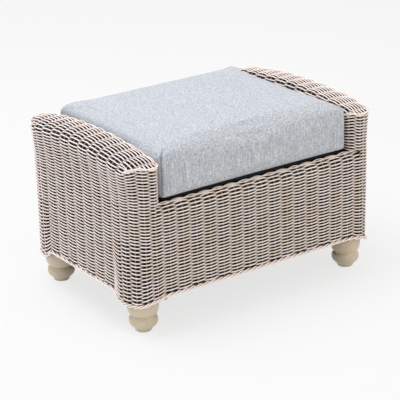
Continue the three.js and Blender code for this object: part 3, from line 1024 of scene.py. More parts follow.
@dataclass
class WovenBody:
    """The woven skin: two long faces, two ends, four corners and two arms."""

    shape: StoolShape = field(default_factory=StoolShape)
    tree: StrandTree = field(default_factory=StrandTree)
    cane: LimewashedCane = field(default_factory=LimewashedCane)
    skin_middle: float = 0.0045  # the stakes' middle lies this far inside the outer face

    long_columns: int = 16
    side_columns: int = 8
    corner_columns: int = 4
    inner_nose_columns: int = 2
    inner_side_columns: int = 9
    top_columns: int = 7  # on each side of an arm's middle, more than its top is long
    top_stakes: int = 5  # stakes across the arm's top on each side of its middle
    stake_girth: float = 0.8
    stake_rest: float = -0.22  # painted shade: the stakes, seen in the depth between the weavers, are coloured darker
    stake_foot: float = 0.003  # they start this far above the lower edge
    inner_stake_foot: float = 0.0015  # and on an arm's inner wall this far below the seat edge
    stake_points: int = 14
    long_stake_points: int = 10  # on the upright part of a long face's stake, and as many on its bend
    stake_bend_start: float = 0.15  # angle round the rail of the first point of the bend
    top_stake_points: int = 33
    top_stake_reach: float = 0.9995  # share of the arm's width that its stakes cross

    low_rows: int = 55  # weavers from the border to the seat edge
    wedge_rows: int = 32  # the lowest of them follow the edge's dip
    arm_rows: int = 24
    wrap_rows: int = 10
    wrap_start: float = 0.35  # share of a row between the rail's side and the first row round it
    row_error: float = 0.00025  # a row's height is out by up to this
    row_end: float = 0.03  # a row dives under the top's edge at this share of its height
    row_end_steps: tuple[float, ...] = (0.0, 0.001, 0.0025, 0.0045, 0.007)  # last points, back from its end
    row_end_clear: float = 0.010  # no other point lies nearer to its end than this
    nose_clear: float = 0.0006  # a row ends at least this far before the nose's stakes
    row_end_places: int = 400  # places along half an arm where a row may end
    tuck: tuple[float, float] = (0.001, 0.0045)  # its end goes on this far along and this far down
    steep_band: tuple[float, float] = (0.75, 0.96)  # across the top, where rows begin to keep their depth
    section_samples: int = 1200  # for measuring round the arm's section
    least_width: float = 0.001  # these three keep divisions sound where the top runs out
    least_depth: float = 0.0001
    least_fullness: float = 0.02

    border_height: float = 0.010
    low_roll: Roll = Roll(0.0027, strands=3, turn_columns=1.6, girth=1.15, shade=0.15, shade_swing=0.5)
    low_roll_inside: float = 0.002  # its middle lies this far inside the outer face
    seat_roll: Roll = Roll(0.0012, girth=0.85, tint=0.5, shade=0.25, shade_swing=0.6)
    seat_roll_climb: float = math.radians(77)  # the roll along the seat edge sits this far round the rail
    seat_roll_reach: float = math.radians(10)  # no weaver runs nearer to its middle than this
    seat_roll_out: float = 0.0022  # its middle lies this far outside the stakes' middle
    nose_roll: Roll = Roll(0.0017, shade=0.5, shade_swing=0.4)
    nose_roll_start: float = 0.190  # the roll under the top runs round the nose from here
    nose_roll_rise: float = 0.0022  # its middle lies this far above the walls' edge
    nose_roll_inside: float = 0.0018
    nose_roll_flatness: float = 0.6
    nose_cover: float = 0.008  # depth by which the arm's top covers the walls at its noses

    @property
    def low_start(self) -> float:
        """Height of the lower border's upper edge, away from the feet."""
        return self.shape.weave_bottom + self.border_height

    @property
    def pitch(self) -> float:
        """Height of one row of the straight walls."""
        return (self.shape.seat_edge_top - self.low_start) / self.low_rows

    def build(self) -> None:
        """Makes every woven piece and sets it in place of its CAD node."""
        for end in End:
            self._long_face(end)
        for side in Side:
            self._wall(f"weave_{side.word}", self.side_line(side), both_ends=False)
            for end in End:
                corner = corner_line(self.shape, side, end, 1, self.corner_columns)
                self._wall(f"weave_corner_{end.word}_{side.word}", corner, both_ends=True)
            self._arm_inner(side)
            self._arm_top(side)

    def _finish(self, bundle: StrandBundle, node: str) -> None:
        """Makes one piece from its strands.

        Args:
            bundle: the strands.
            node: the CAD node that it stands for.
        """
        made = self.tree.weave(bundle, node.replace("weave_", "cane_"), self.cane.build())
        place(made, "frame", "cane", node)

    def _row_mood(self, row: int) -> tuple[float, float]:
        """A row's own height error and tint, the same in every piece that the row runs through."""
        mood = random.Random(ROW_SEED + row)
        return mood.uniform(-self.row_error, self.row_error), mood.random()

    def side_line(self, side: Side) -> PlanLine:
        """The plan of the straight part of an end wall, from front to back.

        Args:
            side: which end wall.

        Returns:
            Its line.
        """
        reach = self.shape.half_depth - self.shape.outer_along
        x = side.value * self.shape.half_width
        return straight_line((x, -reach), (x, reach), (side.value, 0), self.side_columns)

    def wall_points(self, line: PlanLine, z: np.ndarray, out: float | np.ndarray) -> np.ndarray:
        """Points on an upright wall.

        Args:
            line: the wall's plan.
            z: a height for each station.
            out: distance outside the outer face.

        Returns:
            One point for each station.
        """
        x = line.x + line.normal[:, 0] * out + self.shape.flare(line.x, z)
        return as_points(x, line.y + line.normal[:, 1] * out, z)

    def _add_row(self, bundle: StrandBundle, line: PlanLine, row: int, height: np.ndarray) -> None:
        """Adds a weaver to an upright wall.

        Args:
            bundle: the strands of the piece.
            line: the wall's plan.
            row: its number, counted from the lower border all the way up.
            height: its height at each station.
        """
        error, tint = self._row_mood(row)
        points = self.wall_points(line, height + error, -self.skin_middle)
        bundle.add(points, self._outward(line), line.column + row, tint=tint)

    def _add_stake(self, bundle: StrandBundle, points: np.ndarray, outward: np.ndarray | tuple) -> None:
        """Adds a stake, which the weavers pass on both sides."""
        bundle.add_still(points, outward, girth=self.stake_girth, rest=self.stake_rest)

    def _outward(self, line: PlanLine) -> np.ndarray:
        """The wall's outward directions in space."""
        return np.column_stack([line.normal, np.zeros(len(line.column))])

    def _low_height(self, row: int, line: PlanLine) -> np.ndarray:
        """Heights of a row below the seat edge; the lowest rows fan out to follow the lower edge.

        Args:
            row: its number, from the border up.
            line: the wall's plan.

        Returns:
            A height for each station.
        """
        if row >= self.wedge_rows:
            return np.full(len(line.column), self.low_start + (row + 0.5) * self.pitch)
        fan_top = self.low_start + self.wedge_rows * self.pitch
        edge = self.shape.bottom_at(line.x, line.y) + self.border_height
        return edge + (fan_top - edge) * (row + 0.5) / self.wedge_rows

    def edge_top(self, y: np.ndarray | float) -> np.ndarray:
        """Height at which the walls of an arm end and its woven top starts."""
        return self.shape.arch_top(y) - np.maximum(self.shape.shoulder_drop(y), self.nose_cover)

    def _arm_height(self, row: int, line: PlanLine) -> np.ndarray:
        """Heights of a row above the seat edge, spread evenly up to the arch."""
        part = (row + 0.5) / self.arm_rows
        return self.shape.seat_edge_top + (self.edge_top(line.y) - self.shape.seat_edge_top) * part

    def _border(self, bundle: StrandBundle, line: PlanLine) -> None:
        """Adds the rolled border along the lower edge.

        Args:
            bundle: the strands of the piece.
            line: the wall's plan.
        """
        roll = self.low_roll
        centre_z = self.shape.bottom_at(line.x, line.y) + self.border_height / 2
        for turn in roll.turns(line):
            z = centre_z + roll.radius * np.sin(turn)
            points = self.wall_points(line, z, roll.radius * np.cos(turn) - self.low_roll_inside)
            roll.add(bundle, points, self._outward(line), np.cos(turn))

    def _upright_stakes(
        self,
        bundle: StrandBundle,
        line: PlanLine,
        columns: range,
        low: Callable[[float, float], float],
        high: Callable[[float], float],
    ) -> None:
        """Adds upright stakes to a wall.

        Args:
            bundle: the strands of the piece.
            line: the wall's plan.
            columns: the column numbers that have a stake.
            low: gives the stake's foot from x and y.
            high: gives its top from y.
        """
        for column in columns:
            (x, y), normal = line.at(column)
            z = np.linspace(low(x, y), high(y), self.stake_points)
            flare = self.shape.flare(np.full(len(z), x), z)
            points = as_points(x - normal[0] * self.skin_middle + flare, y - normal[1] * self.skin_middle, z)
            self._add_stake(bundle, points, (normal[0], normal[1], 0))

    def _wall(self, node: str, line: PlanLine, both_ends: bool) -> None:
        """Makes an outer wall of an arm, from the border to the arm's top edge.

        Args:
            node: the CAD node that it stands for.
            line: its plan.
            both_ends: whether the stakes on its two end lines belong to it.
        """
        bundle = StrandBundle()
        for row in range(self.low_rows):
            self._add_row(bundle, line, row, self._low_height(row, line))
        for row in range(self.arm_rows):
            self._add_row(bundle, line, self.low_rows + row, self._arm_height(row, line))
        last = int(round(line.column[-1]))
        columns = range(0, last + 1) if both_ends else range(1, last)
        self._upright_stakes(bundle, line, columns, self._foot_height, self.edge_top)
        self._border(bundle, line)
        self._finish(bundle, node)

    def _foot_height(self, x: float, y: float) -> float:
        """Height of the foot of a stake."""
        return self.shape.bottom_at(x, y) + self.stake_foot

    def over_rail(
        self, x: np.ndarray, end: End, climb: float | np.ndarray, inside: float | np.ndarray
    ) -> tuple[np.ndarray, np.ndarray]:
        """A line along a long face where it bends over the seat rail.

        Args:
            x: the stations along the face.
            end: front or back.
            climb: how far round the rail, as an angle.
            inside: distance behind the outer face.

        Returns:
            Points and outward directions.
        """
        radius = self.shape.wrap_radius - inside
        outward = as_points(np.zeros(len(x)), end.value * np.cos(climb), np.sin(climb))
        y = end.value * (self.shape.rail_y + radius * np.cos(climb))
        return as_points(x, y, self.shape.rail_z + radius * np.sin(climb)), outward

    def _long_face(self, end: End) -> None:
        """Makes the front or the back: up the face, over the seat rail and down behind it.

        Args:
            end: front or back.
        """
        bundle = StrandBundle()
        y = end.value * self.shape.half_depth
        reach = self.shape.crest_x
        line = straight_line((-reach, y), (reach, y), (0, end.value), self.long_columns)
        upright_rows = int((self.shape.rail_z - self._low_height(0, line).max()) / self.pitch) + 1
        for row in range(upright_rows):
            self._add_row(bundle, line, row, self._low_height(row, line))
        for row in range(self.wrap_rows):
            climb = self.shape.wrap_angle * (row + self.wrap_start) / self.wrap_rows
            if abs(climb - self.seat_roll_climb) < self.seat_roll_reach:
                continue
            points, outward = self.over_rail(line.x, end, climb, self.skin_middle)
            _, tint = self._row_mood(upright_rows + row)
            bundle.add(points, outward, line.column + upright_rows + row, tint=tint)
        for column in range(1, self.long_columns):
            (x, _), _ = line.at(column)
            self._add_stake(bundle, *self._long_stake(x, end))
        self._seat_border(bundle, line, end)
        self._border(bundle, line)
        self._finish(bundle, f"weave_{end.word}")

    def _seat_border(self, bundle: StrandBundle, line: PlanLine, end: End) -> None:
        """Adds the rolled border along the seat edge.

        Args:
            bundle: the strands of the piece.
            line: the face's plan.
            end: front or back.
        """
        roll = self.seat_roll
        inside = self.skin_middle - self.seat_roll_out
        middle = self.shape.wrap_radius - inside
        for turn in roll.turns(line):
            climb = self.seat_roll_climb + roll.radius * np.cos(turn) / middle
            points, outward = self.over_rail(line.x, end, climb, inside - roll.radius * np.sin(turn))
            roll.add(bundle, points, outward, np.sin(turn))

    def _long_stake(self, x: float, end: End) -> tuple[np.ndarray, np.ndarray]:
        """A stake of a long face: straight up and then round the seat rail.

        Args:
            x: its place along the face.
            end: front or back.

        Returns:
            Its points and their outward directions.
        """
        y = end.value * self.shape.half_depth
        z = np.linspace(self._foot_height(x, y), self.shape.rail_z, self.long_stake_points)
        upright = as_points(x, y - end.value * self.skin_middle, z)
        climb = np.linspace(self.stake_bend_start, self.shape.wrap_angle, self.long_stake_points)
        bent, round_rail = self.over_rail(np.full(len(climb), x), end, climb, self.skin_middle)
        outward = np.tile([0.0, end.value, 0.0], (len(z), 1))
        return np.vstack([upright, bent]), np.vstack([outward, round_rail])

    def inner_line(self, side: Side) -> PlanLine:
        """The plan of an arm's inner wall, from the crest of one nose to that of the other.

        Args:
            side: which arm.

        Returns:
            Its line.
        """
        front = corner_line(self.shape, side, End.FRONT, -1, self.inner_nose_columns).reversed()
        back = corner_line(self.shape, side, End.BACK, -1, self.inner_nose_columns)
        reach = self.shape.half_depth - self.shape.inner_along
        x = side.value * self.shape.arm_inner_x
        middle = straight_line((x, -reach), (x, reach), (-side.value, 0), self.inner_side_columns)
        return front.then(middle).then(back)

    def _arm_inner(self, side: Side) -> None:
        """Makes an arm's inner wall.

        Args:
            side: which arm.
        """
        bundle = StrandBundle()
        line = self.inner_line(side)
        for row in range(self.arm_rows):
            self._add_row(bundle, line, self.low_rows + row, self._arm_height(row, line))
        columns = range(1, int(round(line.column[-1])))
        foot = self.shape.seat_edge_top - self.inner_stake_foot
        self._upright_stakes(bundle, line, columns, lambda x, y: foot, self.edge_top)
        self._finish(bundle, f"weave_arm_inner_{side.word}")

    def top_width(self, part: np.ndarray | float, y: np.ndarray | float, inside: float) -> np.ndarray:
        """Distance from the crest line to the edge of the arm's top.

        Args:
            part: places across the top, below 0 inside the crest line and above 0 outside it.
            y: places along the arm.
            inside: depth under the outer face.

        Returns:
            The distance at each place, on the side where it lies.
        """
        outer = np.asarray(part) > 0
        across = np.where(outer, self.shape.outer_across, self.shape.inner_across) - inside
        along = np.where(outer, self.shape.outer_along, self.shape.inner_along) - inside
        reach = self.shape.half_depth - inside
        into = np.clip((np.abs(y) - (reach - along)) / along, 0, 1)
        return across * np.sqrt(1 - into**2)

    def top_height(self, part: np.ndarray | float, y: np.ndarray | float, inside: float) -> np.ndarray:
        """Height of the arm's top.

        Args:
            part: places across the top, from -1 inside to 1 outside.
            y: places along the arm.
            inside: depth under the outer face.

        Returns:
            The height at each place.
        """
        reach = self.shape.half_depth - inside
        at_nose = smoothstep(np.abs(y), reach - self.shape.nose_rounding, reach)
        sunk = np.maximum(self.shape.shoulder_drop(y) - inside, 0) * (1 - self._fullness(part))
        return self.shape.arch_top(y) - inside - np.maximum(sunk, self.shape.shoulder_nose * at_nose)

    def _fullness(self, part: np.ndarray | float) -> np.ndarray:
        """Height of the arm's round section, from 1 on its crest to 0 at its edges."""
        power = self._power(part)
        return (1 - np.clip(np.abs(part), 0, 1) ** power) ** (1 / power)

    def _power(self, part: np.ndarray | float) -> np.ndarray:
        """Power of the curve across the top; the inner side is squarer than the outer one."""
        return np.where(np.asarray(part) > 0, self.shape.shoulder_power[1], self.shape.shoulder_power[0])

    def _top_points(self, side: Side, part: np.ndarray, y: np.ndarray) -> tuple[np.ndarray, np.ndarray]:
        """Points of the arm's top and their outward directions.

        Args:
            side: which arm.
            part: place across the top, from -1 inside to 1 outside.
            y: place along the arm.

        Returns:
            Points and unit directions.
        """
        width = np.maximum(self.top_width(part, y, self.skin_middle), self.least_width)
        z = self.top_height(part, y, self.skin_middle)
        sunk = np.maximum(self.shape.shoulder_drop(y) - self.skin_middle, 0)
        power = self._power(part) - 1
        sideways = np.sign(part) * sunk / width * np.abs(part) ** power
        upward = np.maximum(self._fullness(part), self.least_fullness) ** power
        slope = -2 * self.shape.arm_fall * y / self.shape.half_depth**2
        outward = np.stack([side.value * sideways, -slope * upward, upward], axis=1)
        outward /= np.linalg.norm(outward, axis=1)[:, None]
        x = side.value * (self.shape.crest_x + part * width)
        return as_points(x + self.shape.flare(x, z), y, z), outward

    def _even_rows(self) -> np.ndarray:
        """Places of the lengthwise rows, evenly spaced over the arm's round section.

        Returns:
            Their distances from the crest line at the arm's middle, from outside to inside.
        """
        part = crowded(self.section_samples)
        across = part * self.top_width(part, 0.0, self.skin_middle)
        z = self.top_height(part, 0.0, self.skin_middle)
        length = np.concatenate([[0], np.cumsum(np.hypot(np.diff(across), np.diff(z)))])
        rows = int(round(length[-1] / self.pitch))
        wanted = length[-1] * (np.arange(rows) + 0.5) / rows
        return np.interp(wanted, length, across)[::-1]

    def _course(self, across: float, y: np.ndarray) -> np.ndarray:
        """Course of a lengthwise row: straight on the flat, at one depth on the steep sides.

        Args:
            across: the row's distance from the crest line at the arm's middle.
            y: places along the arm.

        Returns:
            The row's place across the top at each y, from -1 inside to 1 outside.
        """
        start = across / self.top_width(across, 0.0, self.skin_middle)
        straight = across / np.maximum(self.top_width(across, y, self.skin_middle), self.least_width)
        deepest = self.shape.shoulder_drop(np.append(y, 0.0)) - self.skin_middle
        depth = (1 - self._fullness(start)) * deepest[-1]
        left = np.clip(1 - depth / np.maximum(deepest[:-1], self.least_depth), 0, 1)
        power = self._power(start)
        level = math.copysign(1, across) * (1 - left**power) ** (1 / power)
        steep = float(smoothstep(abs(start), *self.steep_band))
        return np.clip(straight + (level - straight) * steep, -1, 1)

    def _arm_top(self, side: Side) -> None:
        """Makes the woven top of an arm: its rows go on from the outer wall's, over the wall's stakes.

        Args:
            side: which arm.
        """
        bundle = StrandBundle()
        start = self.shape.half_depth - self.shape.outer_along
        column_length = 2 * start / self.side_columns
        furthest = self.shape.half_depth - self.skin_middle - self.nose_clear
        places = np.linspace(0, furthest, self.row_end_places)
        grid = np.arange(-self.top_columns, self.top_columns, 1 / SAMPLES_PER_COLUMN) * column_length
        for row, across in enumerate(self._even_rows()):
            limit = places[self._fullness(self._course(across, places)) > self.row_end][-1]
            dive = limit - np.array(self.row_end_steps)
            y = np.sort(np.concatenate([-dive, grid[np.abs(grid) < limit - self.row_end_clear], dive]))
            points, outward = self._tucked(*self._top_points(side, self._course(across, y), y))
            number = self.low_rows + self.arm_rows + row
            _, tint = self._row_mood(number)
            bundle.add(points, outward, (points[:, 1] + start) / column_length + number, tint=tint)
        part = crowded(self.top_stake_points) * self.top_stake_reach
        for column in range(-self.top_stakes, self.top_stakes + 1):
            stake = self._top_points(side, part, np.full(len(part), column * column_length))
            self._add_stake(bundle, *stake)
        for end in End:
            self._nose_border(bundle, side, end)
        self._finish(bundle, f"weave_arm_top_{side.word}")

    def _tucked(self, points: np.ndarray, outward: np.ndarray) -> tuple[np.ndarray, np.ndarray]:
        """Lengthens a row at both ends, where it dives behind the nose border.

        Args:
            points: the row, from front to back.
            outward: its outward directions.

        Returns:
            The longer row and its outward directions.
        """
        along, down = self.tuck
        first = points[0] + np.array([0, -along, -down])
        last = points[-1] + np.array([0, along, -down])
        return np.vstack([first, points, last]), np.vstack([outward[:1], outward, outward[-1:]])

    def _nose_border(self, bundle: StrandBundle, side: Side, end: End) -> None:
        """Adds the rolled border that runs round an arm's nose under its top.

        Args:
            bundle: the strands of the piece.
            side: which arm.
            end: which end of the arm.
        """
        outer = corner_line(self.shape, side, end, 1, self.corner_columns)
        inner = corner_line(self.shape, side, end, -1, self.inner_nose_columns).reversed()
        line = outer.then(inner)
        first = int(np.argmax(np.abs(line.y) > self.nose_roll_start))
        line = PlanLine(line.xy[first:], line.normal[first:], line.column[first:])
        roll = self.nose_roll
        for turn in roll.turns(line):
            z = self.edge_top(line.y) + self.nose_roll_rise + roll.radius * np.cos(turn)
            out = self.nose_roll_flatness * roll.radius * np.sin(turn) - self.nose_roll_inside
            roll.add(bundle, self.wall_points(line, z, out), self._outward(line), np.sin(turn))


# Lining: a black sheet in place of the shade inside the body


@dataclass
class ClothLining:
    """Black cloth stretched over the poles behind the weave: a dark sheet in place of the shade inside the
    body, which makes the weave's gaps read black.
    """

    body: WovenBody
    finish: BlackDustCloth = field(default_factory=BlackDustCloth)
    depth: float = 0.0093  # distance behind the weave's outer face
    thickness: float = 0.0002
    lift: float = 0.004  # its lower edge is this far above the weave's
    tack_y: float = 0.190  # where it is tacked under the seat board
    tack_z: float = 0.2979
    climb_start: float = 0.2  # angle round the seat rail of its first row there
    climb_beyond: float = 0.2  # it goes this angle further round the rail than the weave
    inner_lift: float = 0.001  # inside an arm its lower edge is this far above the seat edge
    top_inset: float = 0.0005  # under an arm's top it ends this far before the noses
    points_along: int = 60
    points_across: int = 25
    rows_up_front: int = 8
    rows_round_rail: int = 12
    rows_up_arm: int = 16
    rows_up_inner: int = 5

    def build(self) -> None:
        """Makes the sheets behind the long faces and inside the arms."""
        for end in End:
            self._sheet(f"lining_{end.word}", self._long_grid(end))
        for side in Side:
            self._sheet(f"lining_arm_outer_{side.word}", self._outer_grid(side))
            self._sheet(f"lining_arm_inner_{side.word}", self._inner_grid(side))
            self._sheet(f"lining_arm_top_{side.word}", self._top_grid(side))

    def _long_grid(self, end: End) -> np.ndarray:
        """Points up a long face and over its seat rail.

        Args:
            end: front or back.

        Returns:
            Rows of points, from the lower edge to the tacked edge.
        """
        shape = self.body.shape
        x = np.linspace(-shape.crest_x, shape.crest_x, self.points_along)
        y = end.value * shape.half_depth
        low = shape.bottom_at(x, y) + self.lift
        parts = np.linspace(0, 1, self.rows_up_front)
        height = shape.rail_z - low
        rows = [as_points(x, y - end.value * self.depth, low + height * part) for part in parts]
        last_climb = shape.wrap_angle + self.climb_beyond
        for climb in np.linspace(self.climb_start, last_climb, self.rows_round_rail):
            rows.append(self.body.over_rail(x, end, climb, self.depth)[0])
        last = rows[-1]
        tacked = as_points(x, end.value * self.tack_y, self.tack_z)
        rows += [last + (tacked - last) * part for part in (0.5, 1.0)]
        return np.array(rows)

    def _wall_grid(self, line: PlanLine, low: np.ndarray | float, count: int) -> np.ndarray:
        """Points behind a wall of an arm.

        Args:
            line: the wall's plan.
            low: height of the sheet's lower edge.
            count: number of rows.

        Returns:
            Rows of points, from the lower edge to the arm's top edge.
        """
        height = self.body.edge_top(line.y) - low
        parts = np.linspace(0, 1, count)
        return np.array([self.body.wall_points(line, low + height * part, -self.depth) for part in parts])

    def _outer_grid(self, side: Side) -> np.ndarray:
        """Points round the outside of an arm, from the crest of one nose to that of the other.

        Args:
            side: which arm.

        Returns:
            Rows of points.
        """
        shape = self.body.shape
        columns = self.body.corner_columns
        front = corner_line(shape, side, End.FRONT, 1, columns).reversed()
        line = front.then(self.body.side_line(side)).then(corner_line(shape, side, End.BACK, 1, columns))
        return self._wall_grid(line, shape.bottom_at(line.x, line.y) + self.lift, self.rows_up_arm)

    def _inner_grid(self, side: Side) -> np.ndarray:
        """Points along an arm's inner wall."""
        low = self.body.shape.seat_edge_top + self.inner_lift
        return self._wall_grid(self.body.inner_line(side), low, self.rows_up_inner)

    def _top_grid(self, side: Side) -> np.ndarray:
        """Points under an arm's woven top.

        Args:
            side: which arm.

        Returns:
            Rows of points across the top, from front to back.
        """
        shape = self.body.shape
        part = crowded(self.points_across)
        rows = []
        for y in (shape.half_depth - self.depth - self.top_inset) * crowded(self.points_along):
            z = self.body.top_height(part, y, self.depth)
            x = side.value * (shape.crest_x + part * self.body.top_width(part, y, self.depth))
            rows.append(as_points(x + shape.flare(x, z), y, z))
        return np.array(rows)

    def _sheet(self, name: str, grid: np.ndarray) -> None:
        """Makes one stretched sheet from a grid of points.

        Args:
            name: the piece's name.
            grid: rows by columns of points.
        """
        rows, columns, _ = grid.shape
        faces = [
            (r * columns + c, r * columns + c + 1, (r + 1) * columns + c + 1, (r + 1) * columns + c)
            for r in range(rows - 1)
            for c in range(columns - 1)
        ]
        made = mesh_object(name, grid.reshape(-1, 3), [], faces)
        # black, in place of the shade inside the body
        made.data.materials.append(self.finish.build())
        cloth = made.modifiers.new("cloth", "SOLIDIFY")
        cloth.thickness = self.thickness
        cloth.offset = 0.0
        flatten_modifiers(made)
        shade_smooth(made)
        place(made, "frame", "board")


# Feet


@dataclass
class TurnedFoot:
    """A turned bun foot: pad, ball, neck and the cup that meets the weave."""

    finish: TurnedHardwood = field(default_factory=TurnedHardwood)
    x: float = 0.283
    y: float = 0.173
    top: float = 0.080
    pad: float = 0.018
    arris: tuple[float, float] = (0.0008, 0.0006)  # the pad's edge is broken by this much in and up
    ring: tuple[float, float] = (0.0215, 0.008)  # base ring under the ball, radius and height
    ring_rounding: tuple[float, float] = (0.0006, 0.0012)  # from there it goes this much out and up
    ball_centre: tuple[float, float] = (0.0155, 0.0245)
    ball_radius: float = 0.0165
    ball_turn: tuple[float, float] = (-52.0, 46.0)  # degrees from the ball's lower end to its upper end
    neck: tuple[float, float] = (0.0265, 0.037)  # the bowl runs from here, past the belly, to the cup
    belly: tuple[float, float] = (0.034, 0.043)
    cup: tuple[float, float] = (0.035, 0.058)
    rim_rounding: float = 0.001
    ball_points: int = 18
    bowl_points: int = 12
    segments: int = 64

    def profile(self) -> np.ndarray:
        """The foot's outline, from the floor to the top.

        Returns:
            A radius and a height in each row.
        """
        ring_top = (self.ring[0] + self.ring_rounding[0], self.ring[1] + self.ring_rounding[1])
        pad = [(self.pad - self.arris[0], 0.0), (self.pad, self.arris[1]), self.ring, ring_top]
        turn = np.radians(np.linspace(*self.ball_turn, self.ball_points))
        circle = np.stack([np.cos(turn), np.sin(turn)], axis=1)
        ball = np.array(self.ball_centre) + self.ball_radius * circle
        t = np.linspace(0, 1, self.bowl_points)[:, None]
        ends = (1 - t) ** 2 * np.array(self.neck) + t**2 * np.array(self.cup)
        bowl = ends + 2 * t * (1 - t) * np.array(self.belly)
        rim = [(self.cup[0], self.top - self.rim_rounding), (self.cup[0] - self.rim_rounding, self.top)]
        return np.vstack([pad, ball, bowl, rim])

    def build(self) -> None:
        """Makes the four feet."""
        profile = self.profile()
        for side in Side:
            for end in End:
                self._foot(side, end, profile)

    def _foot(self, side: Side, end: End, profile: np.ndarray) -> None:
        """Turns one foot in place.

        Args:
            side: left or right.
            end: front or back.
            profile: radius and height of each ring.
        """
        turns = np.linspace(0, 2 * math.pi, self.segments, endpoint=False)
        x = side.value * self.x
        y = end.value * self.y
        rings = [as_points(x + r * np.cos(turns), y + r * np.sin(turns), z) for r, z in profile]
        faces = ring_faces(len(rings), self.segments)
        where = f"{end.word}_{side.word}"
        made = mesh_object(f"turned_foot_{where}", np.vstack(rings), [], faces)
        made.data.materials.append(self.finish.build())
        shade_smooth(made)
        place(made, "frame", "foot", f"foot_{where}")


# Cushion


